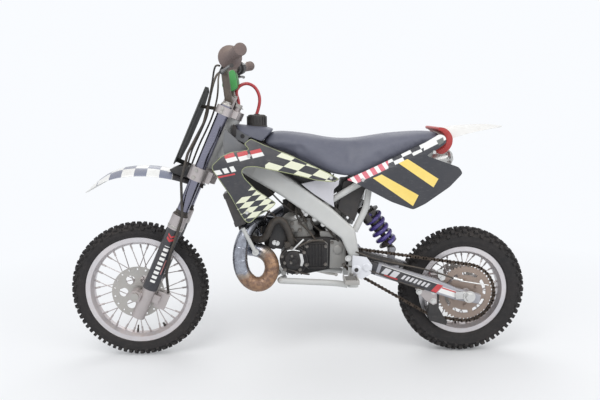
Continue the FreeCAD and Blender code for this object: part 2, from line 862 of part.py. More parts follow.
plate = plate.fuse(cylinder((offset + 16 + gap, 0, plate_low + 8), (1, 0, 0), 7,
                            plate_ahead - plate_wall - offset - 16))
keep(bind_steering(piece("number_plate", plate)))

# Front fender, a thin arched shell in the design frame; columns: x, crown z, half width, drop
fender_rows = (
    (1172, 521, 14, 2),
    (1146, 546, 44, 9),
    (1115, 570, 58, 15),
    (1044, 599, 66, 23),
    (960, 601, 63, 25),
    (892, 588, 55, 24),
    (850, 566, 46, 18),
    (812, 545, 36, 10),
)
fender_wall = 3


def arch_wire(x, crown, half, drop, wall):
    """Shallow arch open below, one wall thick, across the line of travel."""
    outer = [Vector(x, half, crown - drop), Vector(x, half * 0.6, crown - drop * 0.25),
             Vector(x, 0, crown)]
    left = outer + [Vector(x, -p.y, p.z) for p in reversed(outer[:-1])]
    inner = [Vector(p.x, p.y * (1 - wall / half / 2), p.z - wall) for p in reversed(left)]
    return Part.makePolygon(left + inner + [left[0]])


fender = lofted([arch_wire(*row, fender_wall) for row in fender_rows])
fender = fender.fuse(steering_shape(cylinder((14, 0, 383.5), up, 9, lower_low - gap - 383.5)))
keep(bind_place(piece("front_fender", fender)))

# Front brake
disc_radius = number(size("front_disc_diameter")) / 2
caliper = block((-18, -13, -26), (18, 13, 26))
caliper = caliper.cut(block((-10, -2.6, -30), (30, 2.6, 30)))
caliper.translate(Vector(lead_x - disc_radius + 4, disc_plane, 6))
carrier = block((offset - 40, disc_plane + 9, -4), (offset - 4, side - 2, 22))
caliper = joined([caliper, carrier])
leg_clear = [cylinder((offset, side, -80), up, leg_radius + gap, 400),
             cylinder((offset, side, guard_low - 1), up, guard_radius + gap, 400)]
caliper = minus(caliper, leg_clear)
keep(bind_steering(piece("front_caliper", caliper)))
hose_points = (
    (lead_x - disc_radius - 6, disc_plane + 4, 34.7),
    (offset - 30, side + 14, 100),
    (offset - 18, side + 27, 170),
    (offset - 10, side + 29, 280),
    (offset + 36, side + 20, 380),
    (offset + 50, side + 6, 460),
    (offset + 42, side - 10, 560),
    (offset + 58, side - 40, 640),
)
hose_bends = (60, 60, 80, 60, 60, 60)
front_hose = tube(hose_points, 8, hose_bends)
keep(bind_steering(piece("front_brake_hose", front_hose)))

# Frame
head_radius = number(size("head_diameter")) / 2
head_low, head_high = lower_high + 1, upper_low - 1
head_tube = cylinder((0, 0, head_low), up, head_radius, head_high - head_low)
head_tube = head_tube.cut(cylinder((0, 0, 0), up, stem_radius + 0.5, 900))
head_tube = steering_shape(head_tube)
head_cutter = steering_shape(cylinder((0, 0, 300), up, head_radius + gap, 400))
spar_thick = number(size("spar_thickness"))
# columns: x, y, z, height
spar_rows = (
    (752, 28, 652, 60),
    (650, 66, 592, 57),
    (560, 78, 540, 57),
    (440, 80, 455, 55),
    (374, 78, 399, 50),
    (355, 76, 335, 32),
    (356, 74, 232, 32),
)


def section_run(rows, thickness, corner):
    """Pressed box tube; rows hold x, y, z and height across the run."""
    centres = [Vector(*row[:3]) for row in rows]
    wires = []
    for index, row in enumerate(rows):
        before = centres[max(index - 1, 0)]
        after = centres[min(index + 1, len(rows) - 1)]
        way = after - before
        if 0 < index < len(rows) - 1:
            way = (centres[index] - before).normalize() + (after - centres[index]).normalize()
        wires.append(rounded_rectangle(centres[index], way, (0, 1, 0), thickness, row[3],
                                       corner))
    return lofted(wires)


spar = section_run(spar_rows, spar_thick, 9)
spar = spar.cut(head_cutter)
keep(bind_place(piece("main_spars", pair(spar))))
keep(bind_place(piece("steering_head", head_tube)))

cradle_radius = number(size("cradle_diameter")) / 2
down_points = ((758, 0, 650), (738, 0, 574), (704, 0, 434), (586, 0, 252))
down_tube = tube(down_points, 2 * cradle_radius + 4, (200, 300))
down_tube = minus(down_tube, [head_cutter, spar, mirrored(spar)])
down_tube = max(down_tube.Solids, key=lambda solid: solid.Volume)
keep(bind_place(piece("down_tube", down_tube)))
rail_points = ((572, 0, 248), (572, 80, 248), (374, 80, 224))
lower_rail = tube(rail_points, 2 * cradle_radius, 40)
lower_rail = minus(lower_rail, [down_tube, spar, block((0, -200, 0), (900, 0, 900))])
lower_rail = max(lower_rail.Solids, key=lambda solid: solid.Volume)
keep(bind_place(piece("lower_rails", pair(lower_rail))))

subframe_radius = number(size("subframe_diameter")) / 2
rail = tube(((446, 66, 486), (330, 70, 556), (112, 56, 650)), 2 * subframe_radius, 260)
top_x, top_z = number(size("shock_top_x")), number(size("shock_top_z"))
strut = tube(((352, 66, 404), (top_x + 6, 68, top_z), (306, 68, 568)),
             2 * subframe_radius, 120)
sub_side = rail.fuse(strut)
ties = [across(126, 637, subframe_radius, -58, 58), across(top_x, top_z, 6, -68, 68)]
subframe = joined([sub_side, mirrored(sub_side)] + ties)
subframe = minus(subframe, [spar, mirrored(spar)])
subframe = max(subframe.Solids, key=lambda solid: solid.Volume)
keep(bind_place(piece("subframe", subframe)))

# Swingarm: two box arms, a cross brace and the pivot sleeve
arm_height = number(size("swingarm_height"))
arm_plane = number(size("swingarm_plane"))
pivot_x, pivot_z = number(size("pivot_x")), number(size("pivot_z"))
rear_z = number(rear_radius)
arm_rows = (
    (pivot_x + 8, 72, pivot_z, arm_height - 6),
    (pivot_x - 60, 75, pivot_z - 20, arm_height),
    (100, arm_plane, 232, arm_height),
    (40, arm_plane, 208, 36),
    (-36, arm_plane, 190, 30),
)
arm = section_run(arm_rows, number(size("swingarm_thickness")) - 4, 5)
pivot_radius = number(size("pivot_diameter")) / 2
brace = block((214, -66, 256), (252, 66, 294))
sleeve = across(pivot_x, pivot_z, 17, -66, 66)
low_x, low_z = number(size("shock_low_x")), number(size("shock_low_z"))
ears = [block((low_x - 9, at, 290), (low_x + 9, at + 6, low_z + 7)) for at in (14.3, -20.3)]
ears.append(across(low_x, low_z, 5, -20, 20))
swingarm = joined([arm, mirrored(arm), brace, sleeve] + ears)
bolt_clear = [
    across(pivot_x, pivot_z, pivot_radius + gap, -200, 200),
    across(0, rear_z, axle_radius + gap, -200, 200),
    block((pivot_x - 120, chain_plane - 9, pivot_z - 80), (pivot_x + 60, chain_plane + 8.6,
                                                          pivot_z + 80)),
]
swingarm = minus(swingarm, bolt_clear)
keep(bind_place(piece("swingarm", swingarm)))
rear_axle = joined([
    across(0, rear_z, axle_radius, -arm_plane - 30, arm_plane + 30),
    across(0, rear_z, 12, arm_plane + 13 + gap, arm_plane + 23),
    across(0, rear_z, 12, -arm_plane - 23, -arm_plane - 13 - gap),
])
keep(bind_place(piece("rear_axle", rear_axle)))

# Pivot plates on the frame, one piece with the bolt that carries the swingarm
plate_low_y = 91.2 + gap
pivot_outline = ((300, 282), (326, 274), (362, 280), (364, 330), (340, 338), (304, 318))
pivot_side = side_plate(pivot_outline, plate_low_y, plate_low_y + 6)
pivot = joined([pivot_side, mirrored(pivot_side),
                across(pivot_x, pivot_z, pivot_radius, -plate_low_y - 12, plate_low_y + 12)])
keep(bind_place(piece("pivot_plates", pivot)))

# Shock absorber
top = Vector(number(size("shock_top_x")), 0, number(size("shock_top_z")))
foot = Vector(number(size("shock_low_x")), 0, number(size("shock_low_z")))
shock_way = (foot - top).normalize()
shock_length = (foot - top).Length
spring_radius = number(size("spring_diameter")) / 2
wire = number(size("spring_wire"))
spring_from, spring_to = 26, shock_length - 26
body = joined([
    across(top.x, top.z, 12, -16, 16),
    Part.makeCylinder(17, spring_from + 60, top, shock_way),
    Part.makeCylinder(spring_radius, 6, top + shock_way * (spring_from - 6), shock_way),
    Part.makeCylinder(8, shock_length, top, shock_way),
    Part.makeCylinder(spring_radius, 6, top + shock_way * spring_to, shock_way),
    across(foot.x, foot.z, 11, -14, 14),
])
body = minus(body, [across(top.x, top.z, 6 + gap, -20, 20), across(foot.x, foot.z, 5 + gap, -20, 20)])
keep(bind_place(piece("shock_body", body)))
spring_length = spring_to - spring_from - wire - 2 * gap
turns = number(size("spring_turns"))
helix = Part.makeHelix(spring_length / turns, spring_length, spring_radius - wire / 2 - 1)
ring = Part.Wire(Part.Circle(Vector(spring_radius - wire / 2 - 1, 0, 0), Vector(0, 1, 0),
                             wire / 2).toShape())
coil = Part.Wire(helix.Edges).makePipeShell([ring], True, True)
coil.Placement = Placement(top + shock_way * (spring_from + wire / 2 + gap),
                           Rotation(Vector(0, 0, 1), shock_way))
keep(bind_place(piece("shock_spring", coil)))

# Seat; columns: crown x and z, skirt x and z, half width on top, half width at the skirt
seat_rows = (
    (586, 711, 622, 682, 44, 66),
    (510, 700, 521, 634, 54, 84),
    (454, 686, 457, 601, 58, 98),
    (377, 680, 377, 575, 62, 107),
    (299, 688, 299, 598, 66, 106),
    (206, 702, 206, 643, 72, 98),
    (128, 711, 130, 682, 64, 82),
    (82, 705, 90, 695, 54, 66),
)


def seat_wire(top_x, top_z, low_x, low_z, top_half, low_half):
    depth = top_z - low_z
    shoulder = min(16, depth / 3) / depth

    def at(share, y):
        return (top_x + (low_x - top_x) * share, y, top_z - depth * share)

    left = [at(0, 0), at(2 / depth, top_half), at(shoulder, min(top_half + 12, low_half - 2)),
            at(1, low_half), at(1, low_half - 12)]
    inner = at(min(1, shoulder + 30 / depth), 0)
    right = [(x, -y, z) for x, y, z in reversed(left[1:])]
    return polygon(left + [inner] + right)


seat = lofted([seat_wire(*row) for row in seat_rows])
keep(bind_place(piece("seat", seat)))
seat_room = seat.copy()
seat_room.translate(Vector(0, 0, -0.4))

# Engine
case_half = number(size("case_half_width"))
cover_radius = number(size("cover_diameter")) / 2
cover_depth = number(size("cover_depth"))
crank_x, crank_z = 536, 318
case_outline = ((576, 320), (562, 356), (530, 382), (436, 384), (388, 372), (364, 350),
                (362, 298),
                (420, 284), (500, 268), (540, 268), (566, 288))
crankcase = side_plate(case_outline, -case_half, case_half)
cover_rim = across(crank_x, crank_z, cover_radius, case_half, case_half + cover_depth - 6)
cover_face = cylinder((crank_x, case_half + cover_depth - 6, crank_z), (0, 1, 0),
                      cover_radius - 4, 6)
cover_hub = across(crank_x, crank_z, 14, case_half + cover_depth, case_half + cover_depth + 2)
bosses = []
for count in range(6):
    angle = math.radians(60 * count + 20)
    bosses.append(across(crank_x + (cover_radius - 5) * math.cos(angle),
                         crank_z + (cover_radius - 5) * math.sin(angle), 5.5,
                         case_half, case_half + cover_depth - 3))
drive_outline = ((502, 300), (502, 366), (490, 374), (446, 374), (436, 364), (436, 296),
                 (448, 288), (490, 288))
drive_cover = side_plate(drive_outline, case_half, case_half + 16)
for count in range(5):
    rib_x = 446 + 11 * count
    drive_cover = drive_cover.cut(block((rib_x, case_half + 12, 300),
                                        (rib_x + 5, case_half + 17, 362)))
clutch = across(446, 312, 48, -84, -case_half)
cases = joined([crankcase, cover_rim, cover_face, cover_hub, drive_cover, clutch] + bosses)
sprocket_room = across(number(front_x), number(front_z), 44, chain_plane - 12, chain_plane + 12)
cases = joined([cases.cut(sprocket_room),
                across(number(front_x), number(front_z), 22, -50, chain_plane - 13),
                across(number(front_x), number(front_z), 9 - gap, 0, chain_plane + 6)])
keep(bind_place(piece("engine_cases", cases)))
barrel_base, barrel_way = Vector(510, 0, 378), Vector(0.36, 0, 0.93)
barrel_radius = number(size("barrel_diameter")) / 2
head_block = number(size("head_block_diameter")) / 2
barrel = joined([
    Part.makeCylinder(barrel_radius, 66, barrel_base - barrel_way * 14, barrel_way),
    Part.makeCylinder(head_block, 8, barrel_base + barrel_way * 46, barrel_way),
    Part.makeCylinder(head_block - 4, 10, barrel_base + barrel_way * 52, barrel_way),
    Part.makeCone(head_block, head_block - 10, 22, barrel_base + barrel_way * 62, barrel_way),
    Part.makeCylinder(12, 26, barrel_base + barrel_way * 84, barrel_way),
])
barrel = barrel.cut(cases)
keep(bind_place(piece("engine_cylinder", barrel)))
carb = joined([
    cylinder((490, 0, 410), (-0.975, 0, 0.22), 22, 118),
    cylinder((440, 0, 388), (0, 0, 1), 19, 84),
])
carb = max(carb.cut(barrel).cut(cases).Solids, key=lambda solid: solid.Volume)
keep(bind_place(piece("carburettor", carb)))
airbox_outline = ((386, 556), (306, 560), (334, 500), (352, 432), (402, 470))
airbox = side_plate(airbox_outline, -57.7, 57.7)
airbox = minus(airbox, [carb, seat_room, subframe, body])
airbox = max(airbox.Solids, key=lambda solid: solid.Volume)
keep(bind_place(piece("airbox", airbox)))

cool_wide = number(size("radiator_width"))
cool_high = number(size("radiator_height"))
cool_deep = number(size("radiator_depth"))
cool_fins = 10
tank_high = 16
core_high = cool_high - 2 * tank_high
core = Part.makeBox(cool_deep - 12, cool_wide - 4, core_high,
                    Vector(6 - cool_deep / 2, 2 - cool_wide / 2, -core_high / 2))
ends = [Part.makeBox(cool_deep, cool_wide, tank_high,
                     Vector(-cool_deep / 2, -cool_wide / 2, low))
        for low in (-cool_high / 2, cool_high / 2 - tank_high)]
fins = []
for count in range(cool_fins):
    low = -core_high / 2 + core_high * (count + 0.5) / cool_fins - 1
    fins.append(Part.makeBox(cool_deep - 4, cool_wide, 2,
                             Vector(2 - cool_deep / 2, -cool_wide / 2, low)))
radiator = joined([core] + ends + fins)
radiator.rotate(Vector(), Vector(0, 1, 0), 20)
radiator.translate(Vector(713, 86, 482))
radiator = radiator.fuse(across(717, 512, 5, 14 + gap, 52))
keep(bind_place(piece("radiator", radiator)))
hose = tube(((698, 56, 432), (694, 40, 398), (652, 66, 377), (634, 80, 384), (622, 80, 428),
             (584, 76, 428), (556, 68, 386), (546, 56, 352)), 21, (20, 20, 20, 18, 22, 30))
hose = minus(hose, [radiator, barrel, cases])
hose = max(hose.Solids, key=lambda solid: solid.Volume)
keep(bind_place(piece("coolant_hose", hose)))

# Exhaust of welded cones, curled ahead of the engine, then back on the right
pipe_rows = (
    (548, 0, 416, 14),
    (590, 14, 424, 15),
    (630, 40, 434, 17),
    (658, 68, 422, 18.5),
    (682, 87, 396, 20.5),
    (698, 94, 362, 22),
    (701, 95, 325, 22.5),
    (694, 93, 288, 22.5),
    (676, 90, 258, 22.5),
    (650, 86, 245, 22.5),
    (624, 82, 252, 22.5),
    (606, 77, 278, 22.5),
    (605, 71, 309, 22.5),
    (622, 64, 335, 22),
    (650, 54, 346, 22),
    (678, 38, 346, 22),
    (698, 6, 350, 21),
    (692, -38, 358, 22),
    (662, -74, 374, 25),
    (614, -98, 400, 28),
    (560, -108, 432, 29),
    (500, -120, 470, 25),
    (400, -119, 524, 16),
    (350, -98, 544, 12),
    (262, -88.5, 569, 12),
)
pipe = cone_run(pipe_rows)
pipe = max(pipe.cut(barrel).Solids, key=lambda solid: solid.Volume)
keep(bind_place(piece("exhaust_pipe", pipe)))
silencer_radius = number(size("silencer_diameter")) / 2
silencer_way = Vector(-0.975, 0.0, 0.2).normalize()
silencer_start = Vector(258, -89.9, 570)
silencer = joined([
    Part.makeCone(15, silencer_radius, 46, silencer_start, silencer_way),
    Part.makeCylinder(silencer_radius, 180, silencer_start + silencer_way * 46, silencer_way),
    Part.makeCone(silencer_radius, 16, 20, silencer_start + silencer_way * 226, silencer_way),
])
silencer = silencer.cut(pipe)
keep(bind_place(piece("silencer", silencer)))

# Room behind the steering head that the fork tubes and the upper clamp turn through
def turning_room(inner, outer, low, high, reach):
    """Part of a ring round the steering axis, open at the back beyond its reach."""
    room = Part.makeCylinder(outer, high - low, Vector(0, 0, low), Vector(0, 0, 1), 2 * reach)
    room.rotate(Vector(), Vector(0, 0, 1), -reach)
    if inner:
        room = room.cut(cylinder((0, 0, low - 1), up, inner, high - low + 2))
    return steering_shape(room)


turn_clear = number(size("turn_clearance"))
tube_reach = math.hypot(offset, side)
tube_room = turning_room(tube_reach - tube_radius - turn_clear,
                         tube_reach + tube_radius + turn_clear, lower_low, upper_high, 128)
clamp_room = turning_room(0, tube_reach + tube_radius + 8 + turn_clear,
                          upper_low - turn_clear, upper_high + 20, 148)
turn_room = [tube_room, clamp_room]

# Tank with wings beside the steering head, its padded cover, nose, cap and vent hose
# columns: x, top z, low z, half width on top, at the middle and below
tank_rows = (
    (702, 702, 636, 58, 106, 98),
    (640, 692, 612, 62, 106, 94),
    (560, 676, 572, 66, 100, 90),
    (500, 650, 530, 66, 94, 88),
    (440, 606, 492, 60, 88, 86),
    (406, 568, 548, 46, 82, 78),
)


def tank_wire(x, top, low, top_half, mid_half, low_half):
    middle = (top + low) / 2
    left = [(x, 0, top), (x, top_half, top - 3), (x, mid_half, middle), (x, low_half, low)]
    right = [(x, -y, z) for x, y, z in reversed(left[1:])]
    return polygon(left + right)


# columns: crown x and z, lower edge x and z, half width of each
cover_rows = (
    (716, 728, 712, 719, 38, 42),
    (690, 725, 694, 706, 44, 53),
    (660, 723, 668, 694, 48, 60),
    (628, 722, 645, 686, 50, 64),
    (590, 712, 627, 680, 48, 66),
)


def cover_wire(top_x, top_z, low_x, low_z, top_half, low_half):
    def at(share, y):
        return (top_x + (low_x - top_x) * share, y, top_z + (low_z - top_z) * share)

    left = [at(0, 0), at(0.12, top_half), at(1, low_half), at(1, low_half - 5),
            at(0.5, top_half - 5)]
    right = [(x, -y, z) for x, y, z in reversed(left[1:])]
    return polygon(left + [at(0.45, 0)] + right)


tank_parts = [subframe, airbox, carb, barrel]
cover_shape = lofted([cover_wire(*row) for row in cover_rows])
nose_outline = ((718, 727), (704, 714), (710, 689), (724, 695), (724, 707))
cover_shape = cover_shape.fuse(side_plate(nose_outline, -47, 47))
cover_shape = minus(cover_shape, turn_room + [head_cutter, seat])
cap_low, cap_x = 720, 648
cap_seat = cylinder((cap_x, 0, cap_low - gap), (0, 0, 1),
                    number(size("cap_diameter")) / 2 + gap, 40)
cover_shape = cover_shape.cut(cap_seat)
cover_shape = max(cover_shape.Solids, key=lambda solid: solid.Volume)
tank = lofted([tank_wire(*row) for row in tank_rows])
wing_outline = ((744, 718), (719, 698), (660, 656), (700, 640), (725, 642), (740, 632),
                (748, 655), (749, 682))
wing_high = number(size("tank_wing_plane")) + number(size("tank_wing_wall"))
wing = side_plate(wing_outline, number(size("tank_wing_plane")), wing_high)
tank_bridge = side_plate(((702, 684), (660, 672), (660, 650), (702, 641)),
                         -wing_high, wing_high)
tank = joined([tank, wing, mirrored(wing), tank_bridge])
spars = [spar, mirrored(spar)]
tank = minus(tank, spars + turn_room + tank_parts + [head_cutter, seat, seat_room, cover_shape,
                                                     silencer, pipe])
tank = max(tank.Solids, key=lambda solid: solid.Volume)
keep(bind_place(piece("fuel_tank", tank)))
keep(bind_place(piece("tank_cover", cover_shape)))
cap_radius = size("cap_diameter") / 2
cap_height = size("cap_height")
cap_body = turned_body("tank_cap", ((0.01, 0), (cap_radius, 0), (cap_radius, cap_height - 5),
                                    (cap_radius - 4, cap_height), (8, cap_height),
                                    (5, cap_height + 2), (0.01, cap_height + 2)))
keep(bind_place(cap_body, cap_x, 0, cap_low, Vector(1, 0, 0), 90))
vent = tube(((cap_x, 0, cap_low + number(cap_height) + 2 + gap), (648, 0, 804), (666, 0, 836), (688, 0, 826),
             tuple(from_steering(0, 0, stem_top + 4.4))), 7, (26, 22, 14))
keep(bind_place(piece("vent_hose", vent)))

def leaning_sheet(plan, levels, wall):
    """Thin sheet that follows a plan line and leans out or in from level to level."""
    wires = []
    for level, lean in levels:
        points = [(x, y - lean, level) for x, y in plan]
        points += [(x, y - lean - wall, level) for x, y in reversed(plan)]
        wires.append(polygon(points))
    return lofted(wires)


# Shrouds: side outline cut from a sheet that flares forward and leans in at the top
shroud_outline = (
    (662, 689), (522, 622), (426, 577), (404, 568), (464, 566), (551, 586), (608, 603),
    (648, 611), (686, 601), (674, 577), (632, 537), (585, 505), (603, 490), (632, 475),
    (661, 458), (676, 450), (688, 464), (724, 525), (774, 600), (775, 612), (751, 636),
    (725, 650), (668, 657), (684, 673),
)
shroud_plan = ((390, 118), (520, 127), (660, 141), (790, 143))
shroud_levels = ((440, 11.5), (490, 4.6), (540, 0), (612, 0), (650, 9.4), (700, 31))
shroud_wall = number(size("shroud_wall"))
shroud_sheet = leaning_sheet(shroud_plan, shroud_levels, shroud_wall)
shroud = side_plate(shroud_outline, 70, 170).common(shroud_sheet)
shroud_boss = across(690, 646, 6, number(size("tank_wing_plane")), 139).cut(tank)
shroud = shroud.fuse(shroud_boss)
shroud = max(shroud.Solids, key=lambda solid: solid.Volume)
keep(bind_place(piece("shrouds", pair(shroud))))

panel_outline = (
    (363, 560), (332, 544), (252, 502), (186, 478), (150, 495), (78, 545), (40, 585),
    (52, 603), (113, 624), (151, 638), (112, 660), (92, 675), (94, 694), (111, 700),
    (152, 676), (240, 634), (300, 605), (384, 566),
)
panel_plan = ((20, 121.5), (120, 123), (260, 126), (390, 119))
panel_levels = ((460, 0), (616, 0), (640, 3), (710, 26))
panel_wall = number(size("panel_wall"))
panel_sheet = leaning_sheet(panel_plan, panel_levels, panel_wall)
panel = side_plate(panel_outline, 70, 170).common(panel_sheet)
panel = panel.fuse(across(165, 627, 6, 70, 120.5))
keep(bind_place(piece("side_panels", pair(panel))))

# Rear fender; columns as the front fender's
rear_fender_rows = (
    (-108, 722, 16, 3),
    (-88, 724, 36, 7),
    (-50, 727, 52, 13),
    (0, 725, 62, 20),
    (50, 716, 68, 26),
    (88, 694, 64, 24),
    (112, 680, 45.5, 16),
    (150, 652, 48, 16),
    (230, 602, 44, 16),
)
rear_fender = lofted([arch_wire(*row, fender_wall) for row in rear_fender_rows])
keep(bind_place(piece("rear_fender", rear_fender)))

# Footpegs with their brackets
peg_length, peg_width = number(size("peg_length")), number(size("peg_width"))
peg = block((368 - peg_width / 2, 98, 262), (368 + peg_width / 2, 98 + peg_length, 278))
peg = peg.cut(block((368 - peg_width / 2 + 5, 106, 250),
                    (368 + peg_width / 2 - 5, 98 + peg_length - 6, 290)))
peg_arm = block((348, 89.4 + gap, 248), (378, 104, 270))
footpeg = joined([peg, peg_arm])
keep(bind_place(piece("footpegs", pair(footpeg))))

guide = side_plate(((126, 158), (84, 156), (70, 132), (56, 112), (60, 100), (112, 116)),
                   chain_plane - 12, chain_plane + 12)
guide = guide.cut(loop_band(-half_link - 0.3, half_link + 0.3, chain_plane - half_chain - 0.3,
                            chain_plane + half_chain + 0.3))
guide = guide.fuse(block((86, chain_plane + 10, 140), (118, arm_plane - 10, 226)))
guide = guide.cut(swingarm)
guide = max(guide.Solids, key=lambda solid: solid.Volume)
keep(bind_place(piece("chain_guide", guide)))

rear_caliper = block((44, rear_disc_plane - 13, 196), (86, rear_disc_plane + 13, 236))
rear_caliper = rear_caliper.fuse(block((52, -arm_plane + 11.3, 204), (84, rear_disc_plane, 228)))
rear_caliper = rear_caliper.cut(block((30, rear_disc_plane - 2.6, 180),
                                      (number(size("rear_disc_diameter")) / 2 + 3,
                                       rear_disc_plane + 2.6, 260)))
keep(bind_place(piece("rear_caliper", rear_caliper)))
kick = tube(((430, -84 - gap, 312), (430, -112, 312), (420, -118, 360), (402, -122, 420)), 14,
            (8, 30))
keep(bind_place(piece("kickstarter", kick)))
brake_pedal = tube(((392, -92 - gap, 226), (392, -103, 226), (420, -103, 230), (500, -106, 250), (560, -120, 262)), 12,
                   (7, 7, 40))
keep(bind_place(piece("brake_pedal", brake_pedal)))

doc.recompute()
for item in doc.Objects:
    if "Invalid" in item.State or "Error" in item.State:
        raise RuntimeError(f"{item.Label} failed: {item.State}")
for node in nodes:
    if node.Shape.isNull() or not node.Shape.isValid():
        raise RuntimeError(f"{node.Label} has no valid shape")
for node in nodes:
    node.Shape.exportStep(f"parts/{node.Label}.step")
print(len(nodes), "pieces written")
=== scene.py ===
# Youth motocross motorcycle: materials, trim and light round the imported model
import json
import math
import random

import bmesh
import bpy
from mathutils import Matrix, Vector, geometry

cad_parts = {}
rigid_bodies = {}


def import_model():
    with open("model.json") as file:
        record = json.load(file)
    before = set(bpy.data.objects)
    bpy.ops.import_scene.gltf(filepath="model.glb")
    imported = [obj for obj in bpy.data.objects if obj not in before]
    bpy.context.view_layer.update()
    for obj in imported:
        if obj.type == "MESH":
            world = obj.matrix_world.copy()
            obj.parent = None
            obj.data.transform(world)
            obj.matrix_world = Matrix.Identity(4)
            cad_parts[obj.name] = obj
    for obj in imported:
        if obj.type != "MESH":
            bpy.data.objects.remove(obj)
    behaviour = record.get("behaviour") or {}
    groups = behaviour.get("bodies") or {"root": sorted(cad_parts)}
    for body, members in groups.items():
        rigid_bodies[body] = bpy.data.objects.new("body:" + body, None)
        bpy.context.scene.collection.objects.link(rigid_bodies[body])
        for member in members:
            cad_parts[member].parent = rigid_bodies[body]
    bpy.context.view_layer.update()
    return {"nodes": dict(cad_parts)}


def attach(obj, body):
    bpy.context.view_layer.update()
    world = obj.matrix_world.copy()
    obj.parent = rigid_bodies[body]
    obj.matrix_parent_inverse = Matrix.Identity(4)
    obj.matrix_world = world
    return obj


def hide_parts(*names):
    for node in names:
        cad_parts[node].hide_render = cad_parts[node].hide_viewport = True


for leftover in list(bpy.data.objects):
    bpy.data.objects.remove(leftover, do_unlink=True)
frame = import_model()
print("frame loaded:", len(frame["nodes"]), "nodes")

# The part's own layout in millimetres: x forward from the rear axle, y left, z up from the ground
stance = {
    "seatX": 370, "seatZ": 680, "wheelbase": 1017, "frontRadius": 213.5, "rake": 23.7,
    "axleAhead": 58,
}
rakeTurn = math.radians(stance["rake"])
rakeCos, rakeSin = math.cos(rakeTurn), math.sin(rakeTurn)
stemX = stance["wheelbase"] - stance["axleAhead"] * rakeCos
stemZ = stance["frontRadius"] - stance["axleAhead"] * rakeSin


def spot(x, y, z):
    return Vector((x - stance["seatX"], y, z - stance["seatZ"])) / 1000


def stemSpot(x, y, z):
    # a place beside the steering axis: x ahead of it, z along it from the axle's height
    return spot(stemX + x * rakeCos - z * rakeSin, y, stemZ + x * rakeSin + z * rakeCos)


# Camera at the photograph's angle
cameraSettings = {"place": (597.6, 2007.1, 782.0), "yaw": -2.33, "pitch": 8.249, "lens": 39.0}


def makeCamera():
    data = bpy.data.cameras.new("camera")
    data.lens = cameraSettings["lens"]
    data.sensor_width = 36
    data.clip_start = 0.01
    camera = bpy.data.objects.new("camera", data)
    yaw, pitch = math.radians(cameraSettings["yaw"]), math.radians(cameraSettings["pitch"])
    way = Vector((math.sin(yaw) * math.cos(pitch), -math.cos(yaw) * math.cos(pitch),
                  -math.sin(pitch)))
    camera.location = spot(*cameraSettings["place"])
    camera.rotation_euler = way.to_track_quat("-Z", "Y").to_euler()
    bpy.context.collection.objects.link(camera)
    bpy.context.scene.camera = camera


makeCamera()


# Node trees written as Python expressions
class Wire:
    def __init__(self, graph, socket):
        self.graph = graph
        self.socket = socket

    def maths(self, operation, *others):
        values = dict(enumerate((self, *others)))
        return self.graph.node("ShaderNodeMath", {"operation": operation}, values)

    def __add__(self, other):
        return self.maths("ADD", other)

    __radd__ = __add__

    def __sub__(self, other):
        return self.maths("SUBTRACT", other)

    def __rsub__(self, other):
        return self.graph.node("ShaderNodeMath", {"operation": "SUBTRACT"}, {0: other, 1: self})

    def __mul__(self, other):
        return self.maths("MULTIPLY", other)

    __rmul__ = __mul__

    def __truediv__(self, other):
        return self.maths("DIVIDE", other)

    def __abs__(self):
        return self.maths("ABSOLUTE")

    def __mod__(self, other):
        return self.maths("FLOORED_MODULO", other)

    def __gt__(self, other):
        return self.maths("GREATER_THAN", other)

    def __lt__(self, other):
        return self.maths("LESS_THAN", other)

    def above(self, edge, blur):
        # 0 below an edge and 1 above it, with a soft step of the given width
        settings = {"clamp": True}
        sockets = {"Value": self, "From Min": edge - blur / 2, "From Max": edge + blur / 2}
        return self.graph.node("ShaderNodeMapRange", settings, sockets)

    def below(self, edge, blur):
        return 1 - self.above(edge, blur)

    def between(self, low, high, blur=1):
        return self.above(low, blur) * self.below(high, blur)


def inside(x, z, corners, blur=0.8):
    # mask of a convex outline in the side view, its corners in either order
    area = sum(a[0] * b[1] - b[0] * a[1] for a, b in zip(corners, corners[1:] + corners[:1]))
    sign = 1 if area > 0 else -1
    mask = None
    for (ax, az), (bx, bz) in zip(corners, corners[1:] + corners[:1]):
        long = math.hypot(bx - ax, bz - az)
        nx, nz = -(bz - az) / long * sign, (bx - ax) / long * sign
        edge = (x * nx + z * nz - (ax * nx + az * nz)).above(0, blur)
        mask = edge if mask is None else mask * edge
    return mask


def gridPlaces(x, z, origin, first, second):
    # how many steps of each of two ways a point lies from the origin
    (ox, oz), (ax, az), (bx, bz) = origin, first, second
    scale = 1 / (ax * bz - bx * az)
    along = x * (bz * scale) + z * (-bx * scale) - (ox * bz - oz * bx) * scale
    across = x * (-az * scale) + z * (ax * scale) - (oz * ax - ox * az) * scale
    return along, across


def checker(along, across):
    return (along.maths("FLOOR") + across.maths("FLOOR")) % 2.0 < 0.5


def findSocket(sockets, key):
    if isinstance(key, int):
        return sockets[key]
    for socket in sockets:
        if socket.identifier == key or (socket.name == key and socket.enabled):
            return socket
    raise KeyError(key)


class Graph:
    def __init__(self, tree):
        self.tree = tree

    def node(self, kind, settings=None, sockets=None, result=0):
        made = self.tree.nodes.new(kind)
        for key, value in (settings or {}).items():
            setattr(made, key, value)
        for key, value in (sockets or {}).items():
            self.join(findSocket(made.inputs, key), value)
        return Wire(self, findSocket(made.outputs, result))

    def join(self, socket, value):
        if isinstance(value, Wire):
            self.tree.links.new(value.socket, socket)
        elif isinstance(value, (tuple, list)) and socket.type == "RGBA" and len(value) == 3:
            socket.default_value = (*value, 1)
        else:
            socket.default_value = value


